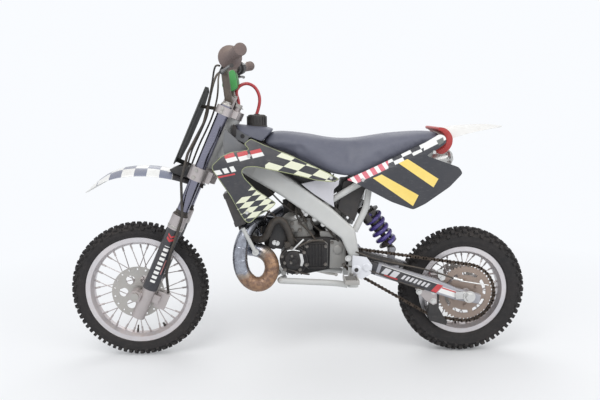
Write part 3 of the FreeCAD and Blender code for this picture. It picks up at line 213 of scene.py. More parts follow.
class Finish(Graph):
    # a material with one shader; a socket is set by its name
    def __init__(self, name, **constants):
        self.material = bpy.data.materials.new(name)
        self.material.use_nodes = True
        super().__init__(self.material.node_tree)
        self.tree.nodes.clear()
        self.shader = self.tree.nodes.new("ShaderNodeBsdfPrincipled")
        output = self.tree.nodes.new("ShaderNodeOutputMaterial")
        self.tree.links.new(self.shader.outputs[0], output.inputs["Surface"])
        self.place = self.node("ShaderNodeTexCoord", result="Object")
        for key, value in constants.items():
            self.set(key, value)

    def set(self, name, value):
        names = {"colour": "Base Color", "roughness": "Roughness", "metallic": "Metallic",
                 "coat": "Coat Weight", "coatRoughness": "Coat Roughness",
                 "normal": "Normal", "specular": "Specular IOR Level",
                 "glow": "Emission Color", "glowStrength": "Emission Strength"}
        self.join(findSocket(self.shader.inputs, names[name]), value)

    def axes(self, vector=None):
        parts = self.tree.nodes.new("ShaderNodeSeparateXYZ")
        self.join(parts.inputs[0], vector or self.place)
        return [Wire(self, socket) for socket in parts.outputs]

    def millimetres(self):
        # the side view's x and z in the part's own layout
        x, _, z = self.axes()
        return x * 1000 + stance["seatX"], z * 1000 + stance["seatZ"]

    def stretched(self, x, y, z, turn=(0, 0, 0)):
        return self.node("ShaderNodeMapping", {}, {"Vector": self.place, "Scale": (x, y, z),
                                                   "Rotation": turn})

    def noise(self, scale, detail=3.0, roughness=0.55, vector=None, distortion=0.0):
        return self.node("ShaderNodeTexNoise", {}, {
            "Vector": vector or self.place, "Scale": scale, "Detail": detail,
            "Roughness": roughness, "Distortion": distortion}, "Fac")

    def scratches(self, fine, scale, ways, distortion, edge):
        lines = self.noise(scale, 3, 0.6, ways, distortion)
        return lines.above(edge, 0.05) * fine.above(0.5, 0.2)

    def blend(self, factor, first, second):
        return self.node("ShaderNodeMix", {"data_type": "RGBA"}, {
            "Factor_Float": factor, "A_Color": first, "B_Color": second}, "Result_Color")

    def facing(self):
        # how far the surface looks up, from 0 to 1
        return self.axes(self.node("ShaderNodeNewGeometry", result="Normal"))[2].above(0.35, 1.1)

    def relief(self, height, distance):
        return self.node("ShaderNodeBump", {}, {"Height": height, "Distance": distance}, "Normal")


# Surfaces: plain ones by row, then the printed films and the pipe
plainFinishes = {
    # slot in the record, colour, roughness, dust, what else differs
    "framePaint": ("frame_paint", (0.56, 0.57, 0.56), 0.42, 0.3, {"coat": 0.25}),
    "castSilver": ("silver_metal", (0.55, 0.51, 0.51), 0.42, 0.35,
                   {"grain": 700, "grainDepth": 0.00025, "metallic": 0.85}),
    "brightSilver": ("silver_metal", (0.75, 0.75, 0.74), 0.26, 0.15,
                     {"metallic": 1.0, "grainDepth": 0.00005}),
    "chrome": ("chrome", (0.26, 0.26, 0.33), 0.22, 0.08, {"metallic": 1.0, "grainDepth": 0.00002}),
    "steel": ("steel", (0.5, 0.49, 0.47), 0.38, 0.4, {"metallic": 0.9}),
    "boltSteel": ("steel", (0.2, 0.19, 0.18), 0.5, 0.4, {"metallic": 0.9}),
    "chainSteel": ("steel", (0.075, 0.058, 0.048), 0.55, 0.34, {"metallic": 0.7}),
    "sprocketSteel": ("steel", (0.36, 0.29, 0.25), 0.46, 0.5,
                      {"dustColour": (0.42, 0.3, 0.22), "metallic": 0.7}),
    "rimSilver": ("silver_metal", (0.74, 0.73, 0.76), 0.34, 0.75,
                  {"dustColour": (0.5, 0.36, 0.28), "metallic": 0.85, "grainDepth": 0.00006}),
    "paleSilver": ("silver_metal", (0.82, 0.83, 0.87), 0.36, 0.12,
                   {"metallic": 0.4, "grainDepth": 0.0001}),
    "silencerMetal": ("silencer_metal", (0.55, 0.55, 0.54), 0.34, 0.25, {"metallic": 0.95}),
    "blackPaint": ("black_metal", (0.02, 0.02, 0.022), 0.35, 0.25, {"coat": 0.3}),
    "barPaint": ("black_metal", (0.12, 0.1, 0.085), 0.42, 0.5, {"metallic": 0.3}),
    "engineBlack": ("black_metal", (0.009, 0.009, 0.011), 0.58, 0.13,
                    {"grainDepth": 0.0003, "metallic": 0.1}),
    "engineGrey": ("engine_grey", (0.33, 0.33, 0.32), 0.5, 0.45,
                   {"grainDepth": 0.0003, "metallic": 0.7}),
    "violetCoil": ("spring_paint", (0.055, 0.035, 0.24), 0.3, 0.2, {"coat": 0.4}),
    "blackPlastic": ("black_plastic", (0.02, 0.021, 0.024), 0.5, 0.2),
    "plateDark": ("black_plastic", (0.006, 0.009, 0.008), 0.7, 0.06),
    "whitePlastic": ("white_plastic", (0.8, 0.8, 0.78), 0.4, 0.3, {"shade": 0.9}),
    "redBand": ("white_plastic", (0.45, 0.03, 0.03), 0.4, 0.25),
    "tankPlastic": ("tank_plastic", (0.15, 0.16, 0.175), 0.4, 0.3, {"shade": 0.7}),
    # the tank plastic again in a lighter tone: a painted sunlit copy of tankPlastic
    "tankPale": ("tank_plastic", (0.56, 0.56, 0.6), 0.42, 0.25, {"shade": 0.88}),
    "paleEdge": ("graphic_plastic", (0.34, 0.38, 0.2), 0.42, 0.25),
    "blackRubber": ("black_rubber", (0.018, 0.018, 0.018), 0.6, 0.45),
    "tyreRubber": ("tyre", (0.014, 0.0135, 0.015), 0.86, 0.26,
                   {"dustColour": (0.2, 0.165, 0.14), "grain": 500, "grainDepth": 0.0002}),
    "gripRubber": ("grip_rubber", (0.16, 0.12, 0.115), 0.74, 0.42),
    "redHose": ("red_hose", (0.45, 0.02, 0.03), 0.32, 0.2, {"coat": 0.3}),
    # seat and tank cover vinyl: its blue-grey tone is partly a painted reflection of the sky
    "seatVinyl": ("seat_cover", (0.112, 0.118, 0.158), 0.46, 0.22,
                  {"dustColour": (0.26, 0.25, 0.26), "grain": 900, "grainDepth": 0.0003}),
    "greenFoam": ("bar_foam", (0.05, 0.34, 0.08), 0.6, 0.3),
}
graphics = {
    "black": (0.016, 0.018, 0.026), "cream": (0.72, 0.73, 0.56), "white": (0.76, 0.76, 0.74),
    "red": (0.5, 0.03, 0.04), "yellow": (0.78, 0.56, 0.11), "slate": (0.16, 0.18, 0.25),
    "paleGrey": (0.6, 0.6, 0.62),
}


def worn(name, colour, roughness, dust, dustColour=(0.36, 0.27, 0.19), grain=420,
         grainDepth=0.00012, metallic=0.0, coat=0.0, shade=0.75):
    # a surface with fine grain, uneven tone, scratches and dust lying where it looks up
    finish = Finish(name, metallic=metallic, coat=coat, coatRoughness=0.25)
    broad, fine = finish.noise(9, 4), finish.noise(60, 5, 0.65)
    tone = finish.blend(broad.above(0.5, 0.5), tuple(shade * c for c in colour), colour)
    scratches = finish.scratches(fine, 30, finish.stretched(1, 6, 24, (0.3, 0.5, 0.2)), 1.4, 0.64)
    pale = tuple(min(1.0, c * 0.5 + 0.28) for c in colour)
    tone = finish.blend(scratches * 0.15, tone, pale)
    dusty = (fine * 0.5 + broad * 0.5).above(0.5, 0.35) * (finish.facing() * 0.6 + 0.25) * dust
    finish.set("colour", finish.blend(dusty, tone, dustColour))
    finish.set("roughness", (broad - 0.5) * 0.25 + dusty * 0.5 + scratches * 0.1 + roughness)
    finish.set("normal", finish.relief(finish.noise(grain, 3, 0.6) + fine * 0.6, grainDepth))
    return finish.material


class Film(Finish):
    # printed plastic: colours laid over black one after another, then wear and dust
    def __init__(self, name, coat=0.5):
        super().__init__(name, coat=coat, coatRoughness=0.18)
        self.x, self.z = self.millimetres()
        self.colour = graphics["black"]

    def lay(self, mask, tint):
        tint = graphics[tint] if isinstance(tint, str) else tint
        self.colour = self.blend(mask, self.colour, tint)

    def done(self, dust=0.22, roughness=0.36):
        broad, fine = self.noise(8, 4), self.noise(70, 5, 0.65)
        ways = self.stretched(1, 5, 20, (0.2, 0.6, 0.1))
        scratches = self.scratches(fine, 26, ways, 1.2, 0.66) * 0.25
        self.lay(scratches, (0.4, 0.4, 0.4))
        dusty = (fine * 0.5 + broad * 0.5).above(0.52, 0.3) * (self.facing() * 0.6 + 0.2) * dust
        self.lay(dusty, (0.36, 0.29, 0.22))
        self.set("colour", self.colour)
        self.set("roughness", dusty * 0.5 + scratches * 0.3 + (broad - 0.5) * 0.2 + roughness)
        self.set("normal", self.relief(broad * 3 + fine, 0.0002))
        return self.material


def shroudFilm():
    film = Film("shroudFilm")
    x, z = film.x, film.z
    # checks of the rear arm, then those of the lower lobe
    along, across = gridPlaces(x, z, (547, 624), (-42, -13), (22, -16))
    mask = checker(along, across) * (along > -1.0) * (across > -1.05)
    film.lay(mask * (x < 622.0) * (z > 562.0), "cream")
    along, across = gridPlaces(x, z, (662, 524), (-28, 4), (18, -19))
    mask = (1 - checker(along, across)) * (along > -1.0) * (across > -2.0)
    film.lay(mask * (z < 556), "cream")
    # plain slanted bars
    bars = (
        ((733, 626), (706, 632), (713, 650), (740, 640), "red"),
        ((730, 620), (700, 627), (706, 638), (736, 631), "white"),
        ((697, 630), (668, 638), (675, 655), (703, 648), "red"),
        ((694, 624), (664, 632), (669, 643), (700, 636), "white"),
        ((660, 637), (628, 646), (636, 660), (666, 653), "red"),
        ((657, 632), (624, 640), (630, 650), (662, 643), "white"),
        ((762, 584), (744, 588), (752, 600), (770, 597), "white"),
        ((738, 589), (724, 592), (732, 606), (746, 603), "white"),
        ((718, 593), (705, 596), (713, 611), (725, 608), "white"),
        ((766, 574), (708, 586), (709, 590), (768, 579), "red"),
    )
    for *corners, tint in bars:
        film.lay(inside(x, z, corners), tint)
    return film.done()


def panelFilm():
    film = Film("panelFilm")
    x, z = film.x, film.z
    tape = film.blend(film.noise(14, 4).above(0.5, 0.5), graphics["yellow"], (0.84, 0.66, 0.2))
    for corners in ([(307, 572), (282, 583), (171, 521), (187, 489)],
                    [(236, 618), (214, 633), (113, 569), (127, 544)]):
        film.lay(inside(x, z, corners), tape)
    # the strip over the panel: red and white bars ahead, checks behind, white at the end
    strip = (z - (x * -0.4915 + 729.5)).above(0, 1.2)
    checks = film.blend(checker(*gridPlaces(x, z, (247, 621), (-27, 12), (-10, -20))),
                        graphics["black"], graphics["white"])
    bars, _ = gridPlaces(x, z, (369, 566), (-24, 9), (-14, -22))
    stripes = film.blend((bars % 1.0) > 0.45, graphics["white"], (0.6, 0.12, 0.16))
    pattern = film.blend(x > 262.0, checks, stripes)
    film.lay(strip, film.blend(x < 158.0, pattern, graphics["white"]))
    film.lay(inside(x, z, [(121, 681), (101, 691), (99, 677), (114, 667)]), (0.12, 0.13, 0.12))
    return film.done(0.1)


def fenderFilm():
    # checks in front of the mount, black beside it
    film = Film("fenderFilm")
    pitch, bandWidth = 37.0, 34.0
    across = abs(film.axes()[1] * 1000) / bandWidth
    mask = checker((film.x - 1088.0) / pitch, across) * (film.x > 902.0) * (film.x < 1128.0)
    film.colour = graphics["white"]
    film.lay(mask, "slate")
    film.lay(film.x < 902.0, "black")
    return film.done(0.3)


def swingarmFilm():
    # a label with plain bars and a chevron on the arm; places along it and across it
    film = Film("swingarmFilm", 0.3)
    along, across = gridPlaces(film.x, film.z, (312, 300), (-0.947, -0.322), (-0.322, 0.947))
    film.lay(along.above(30, 1), (0.33, 0.335, 0.37))
    field = along.between(40, 228)
    label = field * abs(across).below(16, 1)
    film.lay(label, "black")
    edge = field * abs(across - 14.5).above(1.0, 0.8)
    film.lay(label * (1 - edge), "white")
    slope = along - across * 0.45
    wide = (((slope - 50.0) % 27.0) < 20.0) * slope.between(50, 100)
    film.lay(wide * abs(across).below(10, 1), "paleGrey")
    bars = (((slope - 112.0) % 13.0) < 8.0) * slope.between(112, 203)
    film.lay(bars * abs(across).below(7, 1), "paleGrey")
    film.lay(slope.between(62, 106) * abs(across + 12.5).below(2, 1), "red")
    film.lay(slope.between(216, 234) * abs(across).below(14, 1), "red")
    panel = slope.between(236, 296) * abs(across).below(10, 1)
    film.lay(panel, "white")
    film.lay(panel * abs(across - 6.5).below(2, 1), "red")
    return film.done(0.35, 0.4)


def guardFilm():
    # black sleeve with plain white bars, a thin line and two small red chevrons at the top
    film = Film("guardFilm", 0.3)
    along, across = gridPlaces(film.x, film.z, (963.9, 190.2), (-0.4019, 0.9157), (0.9157, 0.4019))
    bars = ((along % 15.0) < 9.0) * along.between(62, 182)
    film.lay(bars * abs(across - 27.0).below(7.5, 1), "white")
    film.lay(along.between(92, 140) * abs(across - 14.0).below(1.4, 1), (0.4, 0.16, 0.16))
    slope = along - abs(across - 27.0) * 0.7
    marks = slope.between(196, 204) + slope.between(208, 214)
    film.lay(marks * abs(across - 27.0).below(11, 1), "red")
    return film.done(0.2, 0.42)


def pipeSteel():
    # plated steel: bright and bluish ahead, rusty orange where it hangs low and behind
    finish = Finish("pipeSteel", coat=0.1)
    x, z = finish.millimetres()
    broad, fine = finish.noise(11, 5, 0.6), finish.noise(80, 5, 0.7)
    drift = (broad - 0.5) * 70
    rust = (660 - x + drift).above(22, 26) * z.below(352, 30)
    rust = (rust + (282 - z + drift).above(4, 18)).maths("MINIMUM", 1.0)
    steel = finish.blend(fine.above(0.55, 0.3), (0.36, 0.38, 0.43), (0.2, 0.2, 0.23))
    heat = finish.blend(broad.above(0.5, 0.3), (0.25, 0.15, 0.09), (0.36, 0.19, 0.08))
    heat = finish.blend(fine.above(0.52, 0.2), heat, (0.15, 0.08, 0.05))
    # painted shade: the header high up and ahead of the engine is darkened almost to black
    paintedHeaderShade = z.above(386, 14) * x.below(672, 16)
    steel = finish.blend(paintedHeaderShade * 0.85, steel, (0.05, 0.05, 0.055))
    colour = finish.blend(rust * 0.92, steel, heat)
    tan = (1 - abs(rust - 0.5) * 2) * 0.6
    finish.set("colour", finish.blend(tan, colour, (0.34, 0.28, 0.2)))
    finish.set("metallic", 0.96 - rust * 0.5)
    finish.set("roughness", rust * 0.2 + (fine - 0.5) * 0.2 + 0.26)
    finish.set("normal", finish.relief(broad * 2 + fine * (rust + 0.2), 0.0006))
    return finish.material


finishes = {}
for name, (_, colour, roughness, dust, *more) in plainFinishes.items():
    finishes[name] = worn(name, colour, roughness, dust, **(more[0] if more else {}))
for makeFilm in (shroudFilm, panelFilm, fenderFilm, swingarmFilm, guardFilm, pipeSteel):
    finishes[makeFilm.__name__] = makeFilm()
print("finishes made:", len(finishes))


# Mesh helpers
leftward, upward = Vector((0, 1, 0)), Vector((0, 0, 1))


def finishPiece(name, mesh, finishNames, body="chassis", stands=None, smooth=35):
    # a piece of one mesh or several, which may stand for a node of the model
    mesh = joinMeshes(*mesh) if isinstance(mesh, list) else mesh
    names = [finishNames] if isinstance(finishNames, str) else finishNames
    mesh.name = name
    while len(mesh.materials) < len(names):
        mesh.materials.append(None)
    for index, finishName in enumerate(names):
        mesh.materials[index] = finishes[finishName]
    mesh.shade_smooth()
    if smooth < 180:
        mesh.set_sharp_from_angle(angle=math.radians(smooth))
    made = bpy.data.objects.new(name, mesh)
    bpy.context.collection.objects.link(made)
    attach(made, body)
    if stands:
        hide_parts(stands)
    return made


def meshFrom(shape, mend=True):
    if mend:
        bmesh.ops.remove_doubles(shape, verts=shape.verts, dist=2e-5)
        bmesh.ops.recalc_face_normals(shape, faces=shape.faces)
    mesh = bpy.data.meshes.new("shape")
    shape.to_mesh(mesh)
    shape.free()
    return mesh


def bakedMesh(made):
    # the mesh of an object with its modifiers or bevel worked in; the object goes
    bpy.context.view_layer.update()
    graph = bpy.context.evaluated_depsgraph_get()
    mesh = bpy.data.meshes.new_from_object(made.evaluated_get(graph))
    bpy.data.objects.remove(made, do_unlink=True)
    return mesh


def withModifiers(mesh, *rows):
    made = bpy.data.objects.new("raw", mesh)
    bpy.context.collection.objects.link(made)
    for kind, settings in rows:
        modifier = made.modifiers.new(kind.lower(), kind)
        for key, value in settings.items():
            setattr(modifier, key, value)
    return bakedMesh(made)


def joinMeshes(*meshes):
    shape = bmesh.new()
    for mesh in meshes:
        shape.from_mesh(mesh)
    return meshFrom(shape, mend=False)


def turnsOf(count, start=0.0):
    # the angles of a full turn in even steps
    return [2 * math.pi * index / count + start for index in range(count)]


def skin(shape, pairs, wrap=True):
    # faces between pairs of rings with as many points each
    for low, high in pairs:
        for index in range(len(low) - (not wrap)):
            after = (index + 1) % len(low)
            shape.faces.new((low[index], low[after], high[after], high[index]))


def lathe(rows, centre, way=leftward, steps=96, closed=True):
    # rows hold radius and place along the axis, in millimetres
    centre = spot(*centre) if isinstance(centre, tuple) else centre
    turn = upward.rotation_difference(Vector(way)).to_matrix()
    shape = bmesh.new()
    rings = []
    for radius, along in rows:
        ring = []
        for angle in turnsOf(steps):
            point = Vector((radius * math.cos(angle), radius * math.sin(angle), along))
            ring.append(shape.verts.new(centre + turn @ point / 1000))
        rings.append(ring)
    pairs = list(zip(rings, rings[1:]))
    if closed:
        pairs.append((rings[-1], rings[0]))
    skin(shape, pairs)
    if not closed:
        for ring, radius in ((rings[0], rows[0][0]), (rings[-1], rows[-1][0])):
            if radius > 0.01:
                shape.faces.new(ring)
    return meshFrom(shape)


def turned(rows, centre, way=leftward, steps=96):
    # a solid of revolution with flat ends
    return lathe(rows, centre, way, steps, closed=False)


def tubeMesh(points, radius, radii=None, steps=10, around=6):
    # a NURBS tube through places or points in millimetres; radii scale it point by point
    places = [spot(*point) if isinstance(point, tuple) else point for point in points]
    curve = bpy.data.curves.new("tube", "CURVE")
    curve.dimensions = "3D"
    curve.bevel_depth = radius / 1000
    curve.bevel_resolution = around
    curve.resolution_u = steps
    curve.use_fill_caps = True
    spline = curve.splines.new("NURBS")
    spline.points.add(len(places) - 1)
    for index, (point, place) in enumerate(zip(spline.points, places)):
        point.co = (*place, 1)
        point.radius = radii[index] if radii else 1
    spline.order_u = 3
    spline.use_endpoint_u = True
    made = bpy.data.objects.new("tube", curve)
    bpy.context.collection.objects.link(made)
    return bakedMesh(made)


def boxMesh(low, high, bevel=2.0, place=spot):
    shape = bmesh.new()
    bmesh.ops.create_cube(shape, size=1)
    for vertex in shape.verts:
        share = [part + 0.5 for part in vertex.co]
        vertex.co = place(*(a + (b - a) * s for a, b, s in zip(low, high, share)))
    if bevel:
        bmesh.ops.bevel(shape, geom=shape.edges[:], offset=bevel / 1000, segments=2,
                        profile=0.6, affect="EDGES")
    return meshFrom(shape)


def plateMesh(outline, inner, outer, bevel=1.5, place=spot):
    # a flat plate of a side view outline between two planes, with rounded edges
    shape = bmesh.new()
    low = [shape.verts.new(place(x, inner, z)) for x, z in outline]
    face = shape.faces.new(low)
    grown = bmesh.ops.extrude_face_region(shape, geom=[face])
    shift = place(0, outer, 0) - place(0, inner, 0)
    moved = [item for item in grown["geom"] if isinstance(item, bmesh.types.BMVert)]
    bmesh.ops.translate(shape, verts=moved, vec=shift)
    bmesh.ops.recalc_face_normals(shape, faces=shape.faces)
    if bevel:
        rim = [edge for edge in shape.edges if edge.calc_face_angle(0) > 0.6]
        bmesh.ops.bevel(shape, geom=rim, offset=bevel / 1000, segments=2, profile=0.6,
                        affect="EDGES", clamp_overlap=True)
    return meshFrom(shape)


# Geometry Nodes: one small shape set on many points, each with its own ways and size
class NodeShape(Graph):
    def __init__(self, name, inputs):
        tree = bpy.data.node_groups.new(name, "GeometryNodeTree")
        super().__init__(tree)
        geometry = "NodeSocketGeometry"
        tree.interface.new_socket("Geometry", in_out="INPUT", socket_type=geometry)
        self.inputs = {}
        for key, value in inputs.items():
            kind = "NodeSocketInt" if isinstance(value, int) else "NodeSocketFloat"
            socket = tree.interface.new_socket(key, in_out="INPUT", socket_type=kind)
            self.inputs[key] = (socket.identifier, value)
        tree.interface.new_socket("Geometry", in_out="OUTPUT", socket_type=geometry)
        self.enter = tree.nodes.new("NodeGroupInput")
        self.leave = tree.nodes.new("NodeGroupOutput")

    def given(self, key):
        return Wire(self, self.enter.outputs[key])

    def attribute(self, name, kind="FLOAT_VECTOR"):
        return self.node("GeometryNodeInputNamedAttribute", {"data_type": kind},
                         {"Name": name}, "Attribute")

    def vector(self, x=0.0, y=0.0, z=0.0):
        return self.node("ShaderNodeCombineXYZ", {}, {0: x, 1: y, 2: z})

    def cylinder(self, sides, radius, depth, shift=None):
        made = self.node("GeometryNodeMeshCylinder", {}, {
            "Vertices": sides, "Radius": radius, "Depth": depth}, "Mesh")
        return self.moved(made, shift)

    def cone(self, sides, low, high, depth, shift=None):
        made = self.node("GeometryNodeMeshCone", {}, {
            "Vertices": sides, "Radius Top": high, "Radius Bottom": low, "Depth": depth},
            "Mesh")
        return self.moved(made, shift)

    def box(self, x, y, z, shift=None):
        made = self.node("GeometryNodeMeshCube", {}, {"Size": self.vector(x, y, z)}, "Mesh")
        return self.moved(made, shift)

    def moved(self, made, shift=None, turn=None, scale=None):
        sockets = {"Geometry": made}
        if shift is not None:
            sockets["Translation"] = self.vector(*shift)
        if turn is not None:
            sockets["Rotation"] = turn
        if scale is not None:
            sockets["Scale"] = scale
        return self.node("GeometryNodeTransform", {}, sockets, "Geometry")

    def together(self, *parts):
        join = self.tree.nodes.new("GeometryNodeJoinGeometry")
        for part in parts:
            self.tree.links.new(part.socket, join.inputs[0])
        return Wire(self, join.outputs[0])

    def scatter(self, unit, finish):
        align = {"axis": "Z"}
        turn = self.node("FunctionNodeAlignRotationToVector", align,
                         {"Vector": self.attribute("way")})
        align = {"axis": "X", "pivot_axis": "Z"}
        turn = self.node("FunctionNodeAlignRotationToVector", align,
                         {"Rotation": turn, "Vector": self.attribute("along")})
        spread = self.node("GeometryNodeInstanceOnPoints", {}, {
            "Points": Wire(self, self.enter.outputs["Geometry"]), "Instance": unit,
            "Rotation": turn, "Scale": self.attribute("size")})
        solid = self.node("GeometryNodeRealizeInstances", {}, {"Geometry": spread})
        done = self.node("GeometryNodeSetMaterial", {}, {"Geometry": solid, "Material": finish})
        self.join(self.leave.inputs[0], done)


def facing(way, places):
    # rows for scattered: places in millimetres that all look one way
    return [(spot(*place), way) for place in places]


def scattered(graph, rows, **values):
    # rows hold place, way and, where they matter, along and size
    mesh = bpy.data.meshes.new("points")
    rows = [(*row, *((Vector((1, 0, 0.01)), Vector((1, 1, 1)))[len(row) - 2:])) for row in rows]
    mesh.from_pydata([row[0] for row in rows], [], [])
    for index, key in ((1, "way"), (2, "along"), (3, "size")):
        layer = mesh.attributes.new(key, "FLOAT_VECTOR", "POINT")
        layer.data.foreach_set("vector", [part for row in rows for part in row[index]])
    made = bpy.data.objects.new("points", mesh)
    bpy.context.collection.objects.link(made)
    modifier = made.modifiers.new("nodes", "NODES")
    modifier.node_group = graph.tree
    for key, (identifier, value) in graph.inputs.items():
        modifier[identifier] = values.get(key, value)
    return bakedMesh(made)


def boltShape(finishName):
    graph = NodeShape("hexBolts", {"across": 0.008, "height": 0.005})
    across, height = graph.given("across"), graph.given("height")
    washer = graph.cylinder(20, across * 0.72, height * 0.3, (0, 0, height * 0.15))
    head = graph.cone(6, across * 0.55, across * 0.5, height, (0, 0, height * 0.3))
    graph.scatter(graph.together(washer, head), finishes[finishName])
    return graph


def buttonShape(finishName):
    # round socket-head screws with a dished top
    graph = NodeShape("buttonScrews", {"across": 0.008, "height": 0.004})
    across, height = graph.given("across"), graph.given("height")
    rim = graph.cone(18, across * 0.55, across * 0.42, height)
    socket = graph.cylinder(6, across * 0.2, height * 0.3, (0, 0, height))
    graph.scatter(graph.together(rim, socket), finishes[finishName])
    return graph


# Wheels: tyres, spokes, hubs; places across are along y from the middle plane
wheels = {
    "front": {"x": 1017, "z": 213.5, "radius": 213.5, "half": 30, "rim": 166.5, "rimHalf": 23,
              "steps": 36, "centre": (13, 12), "shoulder": (12, 13), "hubFlange": 26.5,
              "hubHalf": 52, "seat": 42.5},
    "rear": {"x": 0, "z": 202, "radius": 202, "half": 35, "rim": 141, "rimHalf": 25,
             "steps": 32, "centre": (15, 15), "shoulder": (14, 15), "hubFlange": 34,
             "hubHalf": 60, "seat": 50},
}
tread = {"height": 9.5, "taper": 0.8}
spokeWires = {"count": 32, "wire": 1.5, "nipple": 2.9, "cross": 58, "inner": 27.5,
              "inset": 22.6}


def wheelPlace(row, radius, angle, across):
    return spot(row["x"] + radius * math.sin(angle), across, row["z"] + radius * math.cos(angle))


def outward(angle, lean=0.0):
    flat = math.cos(lean)
    return Vector((math.sin(angle) * flat, math.sin(lean), math.cos(angle) * flat))


def makeTyre(end, row):
    rim, half, crown = row["rim"], row["half"], row["radius"] - tread["height"]
    height = crown - rim
    profile = [(rim - 10, row["rimHalf"] - 4), (rim - 1, row["rimHalf"] - 3.4)]
    sideRows = ((0.02, 0.80), (0.09, 0.885), (0.13, 0.88), (0.3, 0.965), (0.46, 0.985),
                (0.62, 0.95), (0.66, 0.965), (0.70, 0.925), (0.83, 0.77), (0.93, 0.5),
                (0.985, 0.22))
    profile += [(rim + height * up, half * share) for up, share in sideRows]
    profile += [(radius, -y) for radius, y in reversed(profile)]
    carcass = lathe(profile, (row["x"], 0, row["z"]), steps=120)
    graph = NodeShape("knobs", {"tall": 0.012, "taper": tread["taper"]})
    tall = graph.given("tall")
    knob = graph.cone(4, 0.7071, graph.given("taper") * 0.7071, tall, (0, 0, tall * -0.5))
    knob = graph.moved(knob, turn=(0, 0, math.pi / 4))
    graph.scatter(knob, finishes["tyreRubber"])
    rows = []
    turnRandom = random.Random(4)
    stepAngle = 2 * math.pi / row["steps"]
    centre, shoulder = row["centre"], row["shoulder"]
    # columns: share of a step, across, lean, radius of the knob's middle, length, width
    knobRows = (
        (0.0, 0.0, 0.0, crown + 2.6, centre[0], centre[1]),
        (0.5, 0.34, 16, crown + 1.4, centre[0] * 0.9, centre[1] * 0.95),
        (0.0, 0.66, 36, crown - 3.4, shoulder[0], shoulder[1]),
        (0.5, 0.90, 62, crown - height * 0.24, shoulder[0] * 0.85, shoulder[1] * 0.85),
    )
    for share, across, lean, radius, length, width in knobRows:
        for side in ((1, -1) if across else (1,)):
            for count in range(row["steps"]):
                angle = (count + share) * stepAngle
                way = outward(angle, side * math.radians(lean))
                along = Vector((math.cos(angle), 0, -math.sin(angle)))
                wear = 1 - 0.1 * turnRandom.random()
                size = Vector((length * wear, width, 1000)) / 1000
                rows.append((wheelPlace(row, radius, angle, side * across * half), way, along,
                             size))
    knobs = scattered(graph, rows, tall=0.0125)
    finishPiece(f"{end}Tyre", [carcass, knobs], "tyreRubber", f"{end}_wheel", f"{end}_tyre", 32)


def makeHub(row):
    flange, seat, half = row["hubFlange"], row["seat"], row["hubHalf"]
    rows = [(6.3, -half), (13, -half), (15, -half + 2), (15, -seat - 1), (28, -seat),
            (28, -seat + 4), (25, -seat + 6), (31, -flange - 3), (31, -flange + 2),
            (24, -flange + 5), (19, -8), (19, 8), (24, flange - 5), (31, flange - 2),
            (31, flange + 3), (25, seat - 6), (28, seat - 4), (28, seat), (15, seat + 1),
            (15, half - 2), (13, half), (6.3, half)]
    return lathe(rows, (row["x"], 0, row["z"]), steps=64)


def makeSpokes(row):
    graph = NodeShape("spokes", {key: spokeWires[key] / 1000 for key in ("wire", "nipple")})
    wire = graph.cylinder(8, graph.given("wire"), 1.0)
    nipple = graph.cylinder(8, graph.given("nipple"), 0.12, (0, 0, 0.44))
    graph.scatter(graph.together(wire, nipple), finishes["brightSilver"])
    rows = []
    for count, angle in enumerate(turnsOf(spokeWires["count"])):
        side = 1 if count % 2 else -1
        lean = 1 if (count // 2) % 2 else -1
        low = wheelPlace(row, spokeWires["inner"],
                         angle + lean * math.radians(spokeWires["cross"]),
                         side * (row["hubFlange"] + lean * 2))
        high = wheelPlace(row, row["rim"] - spokeWires["inset"], angle, side * 4.5)
        way = high - low
        rows.append(((low + high) / 2, way.normalized(), leftward, Vector((1, 1, way.length))))
    return scattered(graph, rows)


def makeRimTrim(end, row):
    # valve stem and rim lock nut: angle, radius, length
    parts = []
    for angle, radius, long in ((math.radians(174), 3.4, 24), (math.radians(210), 4.5, 14)):
        centre = wheelPlace(row, row["rim"] - 21, angle, 0)
        rows = [(radius, 0), (radius, -long * 0.5), (radius * 0.7, -long * 0.55),
                (radius * 0.7, -long)]
        parts.append(turned(rows, centre, outward(angle), 16))
    finishPiece(f"{end}Valve", parts, "blackRubber", f"{end}_wheel")


for end, row in wheels.items():
    makeTyre(end, row)
    finishPiece(f"{end}Hub", [makeHub(row), makeSpokes(row)], "castSilver", f"{end}_wheel",
                f"{end}_hub")
    makeRimTrim(end, row)
print("wheels made")


# Bodywork: thin shells cut to their side view, on both sides
shroudPlan = {
    "outline": ((664, 689), (626, 671), (574, 650), (533, 633), (497, 616), (440, 589),
                (404, 569), (427, 560), (475, 566), (537, 583), (604, 598), (650, 608),
                (678, 607), (690, 596), (682, 577), (649, 542), (590, 501), (603, 487),
                (650, 459), (665, 443), (677, 443), (690, 459), (724, 525),
                (774, 600), (775, 612), (751, 636), (725, 650), (668, 657), (684, 673)),
    "plan": ((400, 119), (520, 127), (660, 141), (780, 143)),
    "topLean": 26, "lowLean": 10, "wall": 3.5, "edge": 2.6, "cut": 18,
}
panelPlan = {
    "outline": ((363, 560), (332, 544), (252, 502), (186, 478), (150, 495), (78, 545),
                (40, 585), (52, 603), (113, 624), (151, 638), (112, 660), (92, 675),
                (94, 694), (111, 700), (152, 676), (240, 634), (300, 605), (384, 566)),
    "plan": ((30, 119), (120, 123), (260, 126), (380, 118)),
    "wall": 3.5, "edge": 0, "cut": 18,
}


subdivided = ("SUBSURF", {"levels": 2, "render_levels": 2})


def softened(outline, share=0.24, reach=4.0, rounds=2):
    for _ in range(rounds):
        cut = []
        for (ax, az), (bx, bz) in zip(outline, outline[1:] + outline[:1]):
            long = math.hypot(bx - ax, bz - az)
            near = min(share, reach / long)
            cut += [(ax + (bx - ax) * near, az + (bz - az) * near),
                    (bx - (bx - ax) * near, bz - (bz - az) * near)]
        outline = cut
    return outline


